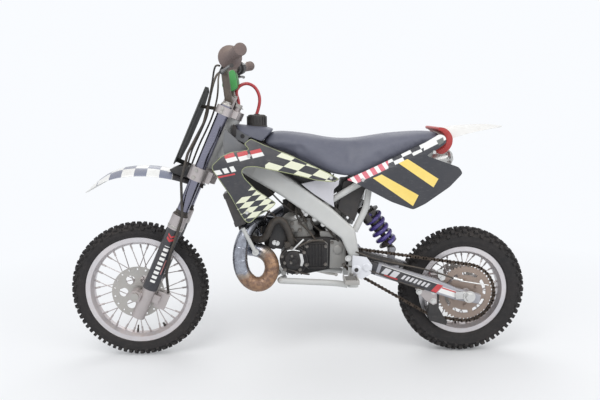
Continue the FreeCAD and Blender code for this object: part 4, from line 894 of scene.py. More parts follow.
def along(rows, x):
    # a smooth line through rows of place and value
    x = min(max(x, rows[0][0]), rows[-1][0])
    slopes = [(b[1] - a[1]) / (b[0] - a[0]) for a, b in zip(rows, rows[1:])]
    turns = [slopes[0]] + [(a + b) / 2 for a, b in zip(slopes, slopes[1:])] + [slopes[-1]]
    for index, ((ax, ay), (bx, by)) in enumerate(zip(rows, rows[1:])):
        if x <= bx:
            t, long = (x - ax) / (bx - ax), bx - ax
            return (ay * (1 - t) ** 2 * (1 + 2 * t) + by * t * t * (3 - 2 * t)
                    + long * turns[index] * t * (1 - t) ** 2
                    - long * turns[index + 1] * t * t * (1 - t))


def faceOut(shape, axis):
    # normals that agree and look along an axis on the whole
    bmesh.ops.recalc_face_normals(shape, faces=shape.faces)
    if sum(face.normal[axis] * face.calc_area() for face in shape.faces) < 0:
        bmesh.ops.reverse_faces(shape, faces=shape.faces[:])


def shellMesh(row, depthAt):
    shape = bmesh.new()
    outline = softened(list(row["outline"]))
    points = [shape.verts.new((x, 0, z)) for x, z in outline]
    for corners in geometry.tessellate_polygon([[Vector((x, z, 0)) for x, z in outline]]):
        shape.faces.new([points[index] for index in corners])
    for axis in (0, 2):
        values = [vertex.co[axis] for vertex in shape.verts]
        place = min(values) + row["cut"]
        while place < max(values):
            point, way = Vector(), Vector()
            point[axis], way[axis] = place, 1
            whole = shape.verts[:] + shape.edges[:] + shape.faces[:]
            bmesh.ops.bisect_plane(shape, geom=whole, dist=0.01, plane_co=point, plane_no=way)
            place += row["cut"]
    for vertex in shape.verts:
        x, _, z = vertex.co
        vertex.co = spot(x, depthAt(x, z), z)
    faceOut(shape, 1)
    mesh = meshFrom(shape, mend=False)
    for _ in range(2):
        mesh.materials.append(None)
    return withModifiers(mesh, ("SOLIDIFY", {
        "thickness": row["wall"] / 1000, "offset": -1, "material_offset": 1,
        "material_offset_rim": 1}))


def edgeBand(row, depthAt, proud=0.9):
    # a narrow raised band that follows the outline just inside it
    outline = softened(list(row["outline"]))
    area = sum(a[0] * b[1] - b[0] * a[1] for a, b in zip(outline, outline[1:] + outline[:1]))
    sign = row["edge"] * (1 if area > 0 else -1)
    shape = bmesh.new()
    rings = [[], [], []]
    count = len(outline)
    for index, (x, z) in enumerate(outline):
        ax, az = outline[index - 1]
        bx, bz = outline[(index + 1) % count]
        way = Vector((bx - ax, bz - az)).normalized()
        ix, iz = x - way.y * sign, z + way.x * sign
        rings[0].append(shape.verts.new(spot(x, depthAt(x, z) - 0.2, z)))
        rings[1].append(shape.verts.new(spot((x + ix) / 2, depthAt(x, z) + proud, (z + iz) / 2)))
        rings[2].append(shape.verts.new(spot(ix, depthAt(ix, iz) - 0.2, iz)))
    skin(shape, zip(rings, rings[1:] + rings[:1]))
    return meshFrom(shape)


def mirroredMesh(mesh):
    shape = bmesh.new()
    shape.from_mesh(mesh)
    for vertex in shape.verts:
        vertex.co.y *= -1
    bmesh.ops.reverse_faces(shape, faces=shape.faces[:])
    return meshFrom(shape, mend=False)


def bothSides(mesh):
    return joinMeshes(mesh, mirroredMesh(mesh))


def shroudDepth(x, z):
    lean = shroudPlan["topLean"] * (max(z - 612, 0) / 75) ** 1.5
    low = shroudPlan["lowLean"] * (max(540 - z, 0) / 90) ** 1.3
    return along(shroudPlan["plan"], x) - lean - low


def panelDepth(x, z):
    # the strip beside the seat leans in to it
    rise = max(z - (-0.4915 * x + 722), 0) / 45
    return along(panelPlan["plan"], x) - 14 * min(rise, 1) ** 0.8


def makeShells():
    shroud = shellMesh(shroudPlan, shroudDepth)
    finishPiece("shroudShells", bothSides(shroud), ["shroudFilm", "blackPlastic"],
                stands="shrouds", smooth=40)
    finishPiece("shroudEdging", bothSides(edgeBand(shroudPlan, shroudDepth)), "paleEdge")
    panel = shellMesh(panelPlan, panelDepth)
    finishPiece("sidePanels", bothSides(panel), ["panelFilm", "blackPlastic"],
                stands="side_panels", smooth=40)
    graph = buttonShape("brightSilver")
    rows = []
    for x, z, depth in ((668, 640, shroudDepth), (676, 474, shroudDepth), (430, 574, shroudDepth),
                        (128, 648, panelDepth), (336, 566, panelDepth)):
        for side in (1, -1):
            rows.append((spot(x, side * (depth(x, z) + 0.2), z), Vector((0, side, 0.02))))
    finishPiece("shellScrews", scattered(graph, rows, across=0.011), "brightSilver")


# Fenders: arched sheets; columns are x, crown height, half width, drop at the edge
fenderRows = {
    "front": ((1173, 521, 12, 1), (1160, 532, 28, 4), (1146, 546, 44, 9), (1115, 570, 58, 15),
              (1084, 588, 65, 20), (1044, 599, 66, 23), (992, 602, 64, 24), (946, 600, 62, 26),
              (892, 588, 55, 24), (850, 566, 46, 18), (812, 545, 36, 10)),
    "rear": ((-108, 722, 14, 2), (-88, 724, 36, 6), (-50, 727, 52, 13), (0, 725, 62, 20),
             (50, 722, 68, 30), (90, 712, 66, 36), (112, 694, 58, 26), (160, 652, 50, 16),
             (230, 604, 46, 14)),
}


def archedMesh(rows, wall=3.0, across=14, lip=2.5):
    shape = bmesh.new()
    rings = []
    for x, crown, half, drop in rows:
        ring = []
        for count in range(across + 1):
            share = count / across * 2 - 1
            fall = drop * abs(share) ** 2.3
            ring.append(shape.verts.new(spot(x, half * share, crown - fall)))
        edge = crown - drop - lip * min(1, drop / 12)
        ring.insert(0, shape.verts.new(spot(x, -half - 0.6, edge)))
        ring.append(shape.verts.new(spot(x, half + 0.6, edge)))
        rings.append(ring)
    skin(shape, zip(rings, rings[1:]), wrap=False)
    faceOut(shape, 2)
    mesh = meshFrom(shape, mend=False)
    return withModifiers(mesh, subdivided, ("SOLIDIFY", {"thickness": wall / 1000, "offset": -1}))


def makeFenders():
    finishPiece("frontFender", archedMesh(fenderRows["front"]), "fenderFilm", "steering",
                "front_fender", 60)
    finishPiece("rearFender", archedMesh(fenderRows["rear"]), "whitePlastic", stands="rear_fender",
                smooth=60)
    # black mount between the front fender and the lower clamp
    outline = ((912, 592), (884, 603), (856, 604), (838, 590), (846, 562), (872, 570), (905, 582))
    finishPiece("fenderMount", plateMesh(outline, -46, 46, 4), "blackPlastic", "steering")


# Seat: a padded cushion that narrows at the tank and comes down at the sides
seatPlan = {
    # x and z of the crown, x and z of the skirt, half width of each
    "rows": ((606, 713, 644, 679, 40, 65), (552, 707, 578, 664, 46, 76),
             (510, 700, 520, 632, 52, 86), (454, 686, 456, 600, 56, 98),
             (400, 679, 400, 576, 58, 106), (350, 680, 350, 572, 60, 107),
             (299, 688, 299, 596, 64, 104), (206, 702, 206, 642, 68, 98),
             (130, 710, 132, 680, 62, 82), (84, 706, 92, 694, 50, 66)),
    "inset": 5, "puff": 4.0, "cap": 7.0, "voxel": 5.0,
}


def seatRing(topX, top, lowX, low, topHalf, lowHalf):
    inset = seatPlan["inset"]
    top, low = top - inset * 0.5, low - 6
    topHalf, lowHalf = topHalf - inset, lowHalf - inset * 0.4
    # share of the way down, across
    side = ((0, 0), (0.01, topHalf * 0.55), (0.08, topHalf),
            (0.27, topHalf + (lowHalf - topHalf) * 0.42),
            (0.62, topHalf + (lowHalf - topHalf) * 0.8), (1.0, lowHalf), (0.98, lowHalf * 0.5))
    points = list(side) + [(0.96, 0)]
    points += [(share, -y) for share, y in reversed(side[1:])]
    return [spot(topX + (lowX - topX) * share, y, top + (low - top) * share)
            for share, y in points]


def ringShell(rows, ringOf):
    # a closed skin over the rings that a function makes of each row
    shape = bmesh.new()
    rings = [[shape.verts.new(place) for place in ringOf(*row)] for row in rows]
    skin(shape, zip(rings, rings[1:]))
    shape.faces.new(rings[0])
    shape.faces.new(rings[-1])
    return meshFrom(shape)


def puffed(mesh, pressure, cap, frames=20):
    # cloth under pressure with no gravity; no point moves further than the cap
    start = [vertex.co.copy() for vertex in mesh.vertices]
    made = bpy.data.objects.new("cushion", mesh)
    bpy.context.collection.objects.link(made)
    cloth = made.modifiers.new("cloth", "CLOTH")
    cloth.settings.use_pressure = True
    cloth.settings.uniform_pressure_force = pressure
    cloth.settings.effector_weights.gravity = 0
    cloth.settings.tension_stiffness = 30
    cloth.settings.bending_stiffness = 8
    cloth.point_cache.frame_start = 1
    cloth.point_cache.frame_end = frames
    for step in range(1, frames + 1):
        bpy.context.scene.frame_set(step)
    swollen = bakedMesh(made)
    bpy.context.scene.frame_set(1)
    for vertex, before in zip(swollen.vertices, start):
        move = vertex.co - before
        if move.length > cap:
            vertex.co = before + move.normalized() * cap
    return swollen


def makeSeat():
    cage = withModifiers(ringShell(seatPlan["rows"], seatRing), subdivided)
    voxel = seatPlan["voxel"] / 1000
    pad = withModifiers(cage, ("REMESH", {"mode": "VOXEL", "voxel_size": voxel}))
    pad = puffed(pad, seatPlan["puff"], seatPlan["cap"] / 1000)
    pad = withModifiers(pad, ("SMOOTH", {"factor": 0.5, "iterations": 6}),
                        ("SUBSURF", {"levels": 1, "render_levels": 1}))
    cushion = finishPiece("seatCushion", pad, "seatVinyl", stands="seat", smooth=180)


makeShells()
makeFenders()
makeSeat()
print("bodywork made")


# Exhaust: one swelling tube curled ahead of the engine, with a seam where each cone was welded
pipePlan = {
    # x, y, z, radius
    "rows": ((548, 0, 416, 14), (590, 14, 424, 15), (630, 40, 434, 17), (662, 70, 430, 19),
             (684, 88, 402, 21), (698, 94, 362, 22), (701, 95, 325, 22.5), (695, 93, 288, 22.5),
             (676, 90, 257, 22.5), (650, 86, 243, 22.5), (623, 82, 250, 22.5),
             (605, 77, 277, 22.5), (604, 71, 309, 22.5), (621, 64, 336, 22),
             (650, 54, 347, 22), (679, 38, 346, 22), (698, 6, 350, 21), (692, -38, 358, 22),
             (662, -74, 374, 25), (614, -98, 400, 28), (560, -108, 432, 29),
             (500, -116, 470, 26), (400, -119, 524, 16), (350, -98, 544, 12),
             (262, -88.5, 569, 12)),
    "seams": (1, 2, 3, 4, 5, 6, 7, 8, 9, 10, 11, 12, 13, 14, 16, 17, 18, 19, 20, 21, 22),
    "seamWidth": 3.2, "seamProud": 0.7,
}
silencerPlan = {"start": (258, -89.9, 570), "way": (-0.975, 0.0, 0.2), "radius": 27}


def middleOf(rows, index):
    # where an order-3 spline lies beside one of its points, and its way there
    before, here, after = (Vector(rows[index + step][:3]) for step in (-1, 0, 1))
    radius = rows[index - 1][3] * 0.125 + rows[index][3] * 0.75 + rows[index + 1][3] * 0.125
    return before * 0.125 + here * 0.75 + after * 0.125, (after - before).normalized(), radius


def makeExhaust():
    rows = pipePlan["rows"]
    pipe = tubeMesh([row[:3] for row in rows], 1, [row[3] for row in rows], steps=8, around=12)
    graph = NodeShape("weldSeams", {"width": 0.0032})
    width = graph.given("width")
    low = graph.cone(40, 0.97, 1.0, width * 0.5, (0, 0, width * -0.5))
    high = graph.cone(40, 1.0, 0.97, width * 0.5)
    graph.scatter(graph.together(low, high), finishes["pipeSteel"])
    places = []
    for index in pipePlan["seams"]:
        place, way, radius = middleOf(rows, index)
        across = (radius + pipePlan["seamProud"]) / 1000
        places.append((spot(*place), way, Vector((0.3, 1, 0.2)), Vector((across, across, 1))))
    seams = scattered(graph, places, width=pipePlan["seamWidth"] / 1000)
    finishPiece("exhaustPipe", [pipe, seams], "pipeSteel", stands="exhaust_pipe", smooth=40)


def makeSilencer():
    row = silencerPlan
    start, way, radius = spot(*row["start"]), Vector(row["way"]).normalized(), row["radius"]
    profile = [(12, -6), (17, -4), (17, 4), (15.5, 6), (19, 14), (28, 34), (radius - 1, 44),
               (radius + 0.8, 45), (radius + 0.8, 54), (radius - 0.4, 55), (radius - 0.4, 168),
               (radius + 0.8, 169), (radius + 0.8, 178), (radius - 1, 179), (radius, 224),
               (radius - 2, 228), (28, 236), (18, 244), (15, 245), (15, 246), (9.5, 246),
               (9.5, 200)]
    body = turned(profile, start, way, 64)
    graph = buttonShape("brightSilver")
    rows = []
    for along in (49.5, 173.5, 226):
        for angle in turnsOf(12):
            side = Vector((0, math.cos(angle), math.sin(angle)))
            side = (side - way * side.dot(way)).normalized()
            rows.append((start + way * along / 1000 + side * (radius + 0.6) / 1000, side))
    rivets = scattered(graph, rows, across=0.006, height=0.0022)
    finishPiece("silencerCan", [body, rivets], "silencerMetal", stands="silencer")


# Hoses and cables: points in millimetres, radius and the node that one stands for
hosePlan = {
    "coolantHose": {
        "points": ((698, 56, 434), (696, 44, 402), (668, 52, 380), (636, 66, 378),
                   (618, 76, 394), (610, 80, 420), (596, 80, 441), (574, 78, 443),
                   (558, 74, 418), (547, 70, 384), (540, 58, 350)),
        "radius": 10.5, "stands": "coolant_hose"},
    "overflowCable": {
        "points": ((628, 60, 470), (600, 66, 462), (582, 70, 430), (560, 68, 408),
                   (528, 66, 372)),
        "radius": 2.2},
    "throttleCable": {
        "points": ((700, 22, 640), (640, 40, 560), (586, 58, 500), (540, 52, 460),
                   (486, 30, 436), (455, 10, 440)),
        "radius": 2.4},
    "rearBrakeLine": {
        "points": ((372, 92, 300), (330, 94, 296), (270, 97, 272), (200, 100, 244),
                   (140, 99, 226)),
        "radius": 2.2},
}


def makeHoses():
    for name, row in hosePlan.items():
        tube = tubeMesh(row["points"], row["radius"])
        finishPiece(name, tube, "blackRubber", stands=row.get("stands"), smooth=60)
    clamps = []
    for place, way in (((703, 47, 426), (0.1, 0.3, 1)), ((546, 60, 358), (0.4, 0.4, 1))):
        clamps.append(lathe([(10.8, -4), (11.6, -4), (11.6, 4), (10.8, 4)], place,
                            Vector(way).normalized(), 32))
    finishPiece("hoseClamps", clamps, "brightSilver")
    points = [(649, 0, 756), (640, 0, 780), (638, 0, 812), (654, 0, 842),
              (684, 0, 852), (714, 0, 830), stemSpot(-3, 0, 652), stemSpot(0, 0, 640)]
    finishPiece("ventHose", tubeMesh(points, 4.9), "redHose", stands="vent_hose", smooth=60)


# Tank with its vinyl cover, the black nose, a drilled lug and the ribbed cap
tankPlan = {
    # x and z of the crown, x and z of the lower edge, half width of each
    "cover": ((717, 728, 713, 716, 37, 41), (692, 725.5, 694, 706, 43, 52),
              (662, 723.5, 670, 694, 48, 60), (632, 722, 648, 686, 50, 64),
              (606, 716, 632, 681, 50, 66), (592, 712, 626, 680, 48, 66)),
    "shell": ((702, 692, 640, 52, 60), (660, 684, 620, 54, 64), (600, 668, 590, 54, 64),
              (540, 646, 560, 54, 64), (490, 626, 520, 54, 64), (440, 600, 500, 50, 66),
              (410, 566, 520, 40, 60)),
    # outline, the plane at each corner
    "wing": ((740, 717, 109), (720, 699, 107), (698, 677, 101), (672, 662, 103),
             (660, 654, 104), (686, 646, 108), (725, 641, 111), (738, 633, 111),
             (743, 655, 111), (743, 684, 110)),
    "lug": ((708, 713, 47), (668, 693, 60), (680, 670, 60), (712, 684, 44)),
    "lugHole": (690, 53.6, 692),
    "rear": ((516, 552), (470, 562), (415, 557), (401, 566), (404, 548), (418, 535),
             (419, 505), (416, 480), (440, 496), (475, 519), (500, 538)),
    "cap": {"x": 648, "z": 720, "radius": 29, "ribs": 22},
}


def coverRing(topX, top, lowX, low, topHalf, lowHalf):
    side = ((0, 0), (0.02, topHalf * 0.6), (0.16, topHalf), (0.6, topHalf * 0.35 + lowHalf * 0.65),
            (0.97, lowHalf), (1.1, lowHalf + 0.4), (1.1, lowHalf - 3), (0.5, topHalf - 5),
            (0.3, topHalf * 0.5))
    points = list(side) + [(0.26, 0)] + [(share, -y) for share, y in reversed(side[1:])]
    return [spot(topX + (lowX - topX) * share, y, top + (low - top) * share)
            for share, y in points]


def shellRing(x, top, low, topHalf, lowHalf):
    middle = (top + low) / 2
    side = ((0, top), (topHalf * 0.8, top), (topHalf, top - 8), (lowHalf, middle),
            (lowHalf * 0.94, low + 10), (lowHalf * 0.7, low))
    points = list(side) + [(0, low)] + [(-y, z) for y, z in reversed(side[1:])]
    return [spot(x, y, z) for y, z in points]


def wingMesh(rows, wall=6.0):
    # a bent plate whose every corner has its own plane
    shape = bmesh.new()
    outer = [shape.verts.new(spot(x, y, z)) for x, z, y in rows]
    inner = [shape.verts.new(spot(x, y - wall, z)) for x, z, y in rows]
    for side in (outer, inner):
        middle = shape.verts.new(sum((v.co for v in side), Vector()) / len(side))
        for index, corner in enumerate(side):
            shape.faces.new((middle, corner, side[(index + 1) % len(side)]))
    skin(shape, [(outer, inner)])
    return meshFrom(shape)


def makeTank():
    cover = withModifiers(ringShell(tankPlan["cover"], coverRing), subdivided)
    finishPiece("tankCover", cover, "seatVinyl", stands="tank_cover", smooth=60)
    # the tank's body is black plastic so the gap below the shroud reads dark: painted shade
    shell = withModifiers(ringShell(tankPlan["shell"], shellRing), subdivided)
    finishPiece("tankShell", shell, "blackPlastic", stands="fuel_tank", smooth=60)
    finishPiece("tankWings", bothSides(wingMesh(tankPlan["wing"])), "tankPlastic")
    # the tank's rear lobes in the lighter copy of the tank plastic: painted sunlight
    rear = plateMesh(tankPlan["rear"], 80, 88, 2.5)
    finishPiece("tankRearSides", bothSides(rear), "tankPale")
    nose = ((718, 727), (705, 714), (711, 688), (725, 693), (724, 706))
    finishPiece("tankNose", plateMesh(nose, -47, 47, 3), "blackPlastic")
    finishPiece("tankLugs", bothSides(wingMesh(tankPlan["lug"], 4)), "tankPlastic")
    way = Vector((0.31, 0.95, 0)).normalized()
    holes = joinMeshes(
        lathe([(5.2, -1), (6.6, -1), (6.6, 0.6), (5.2, 0.6)], tankPlan["lugHole"], way, 24),
        turned([(5.2, -0.2), (5.2, 0.25)], tankPlan["lugHole"], way, 24))
    finishPiece("tankLugHoles", bothSides(holes), "blackPlastic")
    cap = tankPlan["cap"]
    base, radius = spot(cap["x"], 0, cap["z"]), cap["radius"]
    profile = [(radius + 3, -2), (radius + 3, 2), (radius, 4), (radius - 1, 30),
               (radius - 3, 34), (radius - 8, 35.5), (9, 35.5), (9, 37), (4.4, 38)]
    body = turned(profile, base, upward, 60)
    graph = NodeShape("capRibs", {"wide": 0.0042, "tall": 0.027})
    wide, tall = graph.given("wide"), graph.given("tall")
    graph.scatter(graph.box(wide, wide, tall), finishes["blackPlastic"])
    rows = []
    for angle in turnsOf(cap["ribs"]):
        side = Vector((math.cos(angle), math.sin(angle), 0))
        rows.append((base + (side * (radius - 0.4) + upward * 17) / 1000, upward, side))
    finishPiece("tankCap", [body, scattered(graph, rows)], "blackPlastic", stands="tank_cap")


makeExhaust()
makeSilencer()
makeHoses()
makeTank()
print("exhaust, hoses and tank made")


# Engine: cases with a round and a ribbed cover, barrel and head, carburettor and radiator
enginePlan = {
    "case": ((576, 320), (562, 356), (530, 382), (436, 384), (388, 372), (364, 350),
             (362, 298), (420, 284), (500, 268), (540, 268), (566, 288)),
    "ribbed": ((502, 296), (503, 364), (490, 375), (450, 375), (436, 364), (435, 296),
               (446, 286), (490, 286)),
    "pale": ((426, 376), (396, 374), (378, 358), (376, 296), (392, 288), (428, 286)),
    "round": (537, 316), "clutch": (446, 312),
}
coolTurn = math.radians(20)


def coolSpot(x, y, z):
    # the radiator's own place, leaning with the down tube
    return spot(713 + x * math.cos(coolTurn) + z * math.sin(coolTurn), 86 + y,
                482 - x * math.sin(coolTurn) + z * math.cos(coolTurn))


def makeCases():
    x, z = enginePlan["round"]
    profile = [(43.5, 54), (43.5, 74), (42, 77.5), (38, 79), (36, 76.5), (31, 76.5), (29, 81),
               (26, 82.5), (15, 83), (14, 80.5), (8, 80.5), (7, 83.5)]
    cover = turned(profile, (x, 0, z))
    parts = [plateMesh(enginePlan["case"], -58, 58, 5), cover,
             plateMesh(enginePlan["case"], -1.5, 1.5, 0.5),
             plateMesh(enginePlan["ribbed"], 56, 70, 3)]
    x, z = enginePlan["clutch"]
    profile = [(48, 56), (48, 76), (45, 80), (38, 81), (36, 78.5), (20, 78.5), (18, 84)]
    parts.append(turned(profile, (x, 0, z), (0, -1, 0)))
    # ribs of the drive cover, upright ones between two level ones
    for count in range(5):
        left = 448 + 9.6 * count
        parts.append(boxMesh((left, 69, 297), (left + 3.4, 73.6, 364), 1.2))
    for low in (366, 289):
        parts.append(boxMesh((441, 69, low), (494, 74, low + 4), 1.5))
    # shaft ends, mounts and the case's lower ribs
    parts.append(turned([(22, -50), (22, 38), (17, 39), (9, 39), (9, 58)], (352, 0, 312)))
    for count in range(4):
        left = 512 + 14 * count
        parts.append(boxMesh((left, -50, 264), (left + 4, 50, 272), 1.2))
    finishPiece("engineCases", parts, "engineBlack", stands="engine_cases", smooth=40)
    pale = [plateMesh(enginePlan["pale"], 50, 62, 3),
            turned([(15, 58), (15, 64), (12, 66), (4, 66)], (402, 0, 345)),
            plateMesh(((458, 402), (404, 398), (410, 378), (456, 380)), 34, 50, 3)]
    finishPiece("engineGearCase", pale, "engineGrey")
    x, z = enginePlan["round"]
    # painted highlight: a bright grey rim round the ribbed cover and the round one, where light
    # catches their edges
    rims = [lathe([(44.2, 57.8), (44.2, 60.6), (42, 60.6), (42, 57.8)], (x, 0, z)),
            plateMesh([(470 + (a - 470) * 1.05, 331 + (b - 331) * 1.04)
                       for a, b in enginePlan["ribbed"]], 57, 60.4, 1)]
    finishPiece("coverRimHighlights", rims, "engineGrey")


def makeEngineTrim():
    x, z = enginePlan["round"]
    places = [(547, 80, 310), (565, 80, 310), (544, 80, 332), (519, 80, 288)]
    places += [(x + 39.5 * math.cos(turn), 78, z + 39.5 * math.sin(turn))
               for turn in (0.35, 1.4, 2.45, 3.5, 4.5, 5.5)]
    places += [(498, 70, 358), (440, 70, 358), (441, 70, 302), (497, 70, 302)]
    rows = facing(leftward, places + [(384, 62, 364), (384, 62, 298), (420, 62, 368)])
    x, z = enginePlan["clutch"]
    rows += facing(-leftward, [(x + 42 * math.cos(turn), -80, z + 42 * math.sin(turn))
                               for turn in (0.2, 1.2, 2.2, 3.3, 4.3, 5.3)])
    bolts = scattered(boltShape("boltSteel"), rows, across=0.0075, height=0.0045)
    finishPiece("engineBolts", bolts, "boltSteel")
    lever = [plateMesh(((522, 339), (512, 338), (507, 314), (512, 299), (519, 301), (517, 316)),
                       80, 84.5, 1.5),
             tubeMesh([(541, 80, 350), (526, 82, 366), (508, 80, 382)], 3.2),
             tubeMesh([(558, 78, 346), (540, 80, 352), (520, 82, 346)], 2.2)]
    finishPiece("clutchLever", lever, "brightSilver")
    dark = [tubeMesh([(532, 80, 356), (500, 79, 372), (470, 72, 378), (444, 66, 372)], 3),
            boxMesh((545, 60, 352), (566, 74, 372), 3),
            tubeMesh([(556, 78, 290), (520, 82, 276), (490, 76, 272)], 2.6)]
    finishPiece("engineCables", dark, "blackRubber")


def makeCylinder():
    base, way = spot(510, 0, 378), Vector((0.36, 0, 0.93)).normalized()
    profile = [(40, -14), (42, -10), (42, -4), (39, -2), (39, 40), (44, 41), (44, 46), (40, 47),
               (40, 50), (45, 51), (45, 60), (42, 62), (42, 66), (38, 74), (26, 81), (14, 83)]
    parts = [turned(profile, base, way, 72),
             boxMesh((530, -22, 396), (572, 22, 434), 6),
             boxMesh((476, -26, 400), (500, 26, 440), 6),
             boxMesh((512, 30, 398), (548, 46, 432), 5)]
    finishPiece("cylinder", parts, "engineGrey", stands="engine_cylinder", smooth=40)
    aside = way.cross(leftward).normalized()
    rows = []
    for turn in turnsOf(6, 0.3):
        side = aside * math.cos(turn) + leftward * math.sin(turn)
        rows.append((base + way * 0.068 + side * 0.034, way))
    rows += facing(leftward, ((518, 46, 404), (542, 46, 426), (518, 46, 426), (542, 46, 404)))
    nuts = scattered(boltShape("boltSteel"), rows, across=0.009, height=0.006)
    finishPiece("headNuts", nuts, "boltSteel")
    profile = [(10, 78), (10, 84), (7.5, 86), (9, 92), (9, 104), (6, 110), (3, 112)]
    plug = [turned(profile, base, way, 24),
            tubeMesh([base + way * 0.108, base + way * 0.128 + Vector((-0.01, 0.012, 0)),
                      (536, 30, 500), (520, 52, 470), (500, 58, 430)], 3.2)]
    finishPiece("sparkPlugCap", plug, "blackRubber")


def makeCarburettor():
    start, way = spot(372, 0, 466), Vector((104, 0, -40)).normalized()
    throat = [(27, 0), (27, 8), (29, 9), (29, 16), (22, 20), (22, 34), (20, 36), (20, 76),
              (24, 78), (24, 84), (19, 86), (19, 112)]
    dome = [(17, 440), (17, 476), (19, 477), (19, 484), (12, 486)]
    body = [turned(throat, start, way, 48), boxMesh((402, -20, 396), (440, 20, 432), 5),
            turned(dome, (424, 0, 0), upward, 32),
            turned([(7, 18), (7, 26), (5, 27)], (424, 0, 438), steps=20)]
    finishPiece("carburettorBody", body, "engineGrey", stands="carburettor", smooth=40)
    rows = facing(leftward, [(424 + a, 20, 414 + b) for a in (-13, 13) for b in (-12, 12)])
    screws = scattered(buttonShape("brightSilver"), rows, across=0.006, height=0.003)
    finishPiece("carburettorScrews", screws, "brightSilver")


def makeRadiator():
    # end tanks, core, side plates and fins: low corner, high corner, bevel
    boxes = [((-17, -36, -52), (17, 36, -36), 3), ((-17, -36, 36), (17, 36, 52), 3),
             ((-8, -33, -37), (9, 33, 37), 0), ((-15, 33, -38), (15, 36, 38), 1),
             ((-15, -36, -38), (15, -33, 38), 1)]
    boxes += [((-14, -34, low), (14, 34, low + 0.9), 0) for low in range(-36, 36, 3)]
    parts = [boxMesh(*row, coolSpot) for row in boxes]
    parts.append(turned([(5, 14), (5, 52)], (717, 0, 512), steps=20))
    finishPiece("radiatorCore", parts, "blackPaint", stands="radiator")


makeCases()
makeEngineTrim()
makeCylinder()
makeCarburettor()
makeRadiator()
print("engine made")


# Final drive, pivot plates, footpegs and the small parts along the swingarm
drivePlan = {
    "plane": 52, "pitch": 12.7, "rear": (0, 202), "rearTeeth": 45, "front": (352, 312),
    "frontTeeth": 17, "dip": (104, 128),
}


def arcPoints(centre, radius, start, end):
    # points round a centre, the way that goes from start to end through growing angles
    while end < start:
        end += 2 * math.pi
    count = max(2, int(radius * (end - start) / 2))
    return [centre + radius * Vector((math.cos(start + (end - start) * step / count),
                                      math.sin(start + (end - start) * step / count)))
            for step in range(count + 1)]


def tangentAngle(centre, radius, other, otherRadius, side):
    gap = other - centre
    heading = math.atan2(gap.y, gap.x)
    return heading + side * math.acos((radius - otherRadius) / gap.length)


def chainLoop():
    plan = drivePlan
    rear, front, dip = (Vector(plan[key]) for key in ("rear", "front", "dip"))
    big = plan["pitch"] / 2 / math.sin(math.pi / plan["rearTeeth"])
    small = plan["pitch"] / 2 / math.sin(math.pi / plan["frontTeeth"])
    top = tangentAngle(rear, big, front, small, 1)
    lowFront = tangentAngle(front, small, dip, 0, 1)
    lowRear = tangentAngle(rear, big, dip, 0, -1)
    loop = arcPoints(rear, big, top, lowRear)
    loop.append(dip)
    loop += arcPoints(front, small, lowFront, top)
    return loop + [loop[0]]


def evenSteps(loop, step):
    long = sum((b - a).length for a, b in zip(loop, loop[1:]))
    count = 2 * round(long / step / 2)
    step, places, left = long / count, [], 0.0
    for a, b in zip(loop, loop[1:]):
        part = (b - a).length
        while left < part and len(places) < count:
            places.append(a + (b - a) * left / part)
            left += step
        left -= part
    return places


def makeChain():
    graph = NodeShape("chainLinks", {"wide": 0.0112, "long": 0.0127, "thick": 0.0017})
    wide, long, thick = (graph.given(key) for key in ("wide", "long", "thick"))
    parts = [graph.cylinder(14, 0.0038, wide * 0.6), graph.cylinder(10, 0.0018, 0.0128)]
    for side in (-0.5, 0.5):
        parts.append(graph.box(long, 0.0064, thick, (0, 0, wide * side)))
        for end in (-0.5, 0.5):
            parts.append(graph.cylinder(14, 0.0048, thick, (long * end, 0, wide * side)))
    graph.scatter(graph.together(*parts), finishes["chainSteel"])
    places = evenSteps(chainLoop(), drivePlan["pitch"])
    meshes = []
    for start, width in ((0, 0.0108), (1, 0.0076)):
        rows = []
        for index in range(start, len(places), 2):
            a, b = places[index], places[(index + 1) % len(places)]
            middle, way = (a + b) / 2, (b - a).normalized()
            rows.append((spot(middle.x, drivePlan["plane"], middle.y), leftward,
                         Vector((way.x, 0.0, way.y))))
        meshes.append(scattered(graph, rows, wide=width))
    finishPiece("driveChain", meshes, "chainSteel", stands="chain", smooth=40)


def makePivots():
    outline = ((361, 335), (318, 329), (300, 304), (304, 276), (331, 260), (364, 268))
    parts = [plateMesh(outline, 91.6, 97, 2), plateMesh(outline, -97, -91.6, 2)]
    bosses = (([(13, 96), (13, 99), (11.5, 100), (8, 100), (8, 102.8)], (318, 0, 297)),
              ([(14, 86), (14, 98), (12, 99), (7, 99)], (349, 0, 290)))
    for side in (1, -1):
        parts += [turned(profile, place, (0, side, 0), 32) for profile, place in bosses]
    parts.append(turned([(8, -92), (8, 92)], (349, 0, 290), steps=32))
    finishPiece("pivotPlates", parts, "paleSilver", stands="pivot_plates")
    dark = [turned([(6.5, 98.5), (6.5, 99.4)], (349, 0, 290), (0, side, 0), 24)
            for side in (1, -1)]
    finishPiece("pivotSockets", dark, "blackPlastic")


def makePegs():
    parts = []
    for left, right in ((348, 352.5), (386.5, 391)):
        parts.append(boxMesh((left, 99, 263), (right, 168, 275), 1))
    parts.append(boxMesh((348, 164, 263), (391, 169, 275), 1))
    for count in range(4):
        low = 108 + 14 * count
        parts.append(boxMesh((350, low, 265), (389, low + 3, 274), 0.6))
    parts.append(boxMesh((350, 90, 250), (378, 106, 270), 2))
    parts.append(turned([(5, 246), (5, 276), (7, 276), (7, 279)], (364, 97, 0), upward, 24))
    graph = NodeShape("pegTeeth", {"tall": 0.0042})
    graph.scatter(graph.cone(4, 0.0026, 0.0006, graph.given("tall")), finishes["steel"])
    rows = [(x, 104 + 6.6 * count) for x in (350.3, 388.7) for count in range(10)]
    rows += [(355 + 6 * count, 166.5) for count in range(6)]
    rows = [(spot(x, y, 274.6), upward, Vector((1, 1, 0))) for x, y in rows]
    parts.append(scattered(graph, rows))
    finishPiece("footpegPair", bothSides(joinMeshes(*parts)), "steel", stands="footpegs")


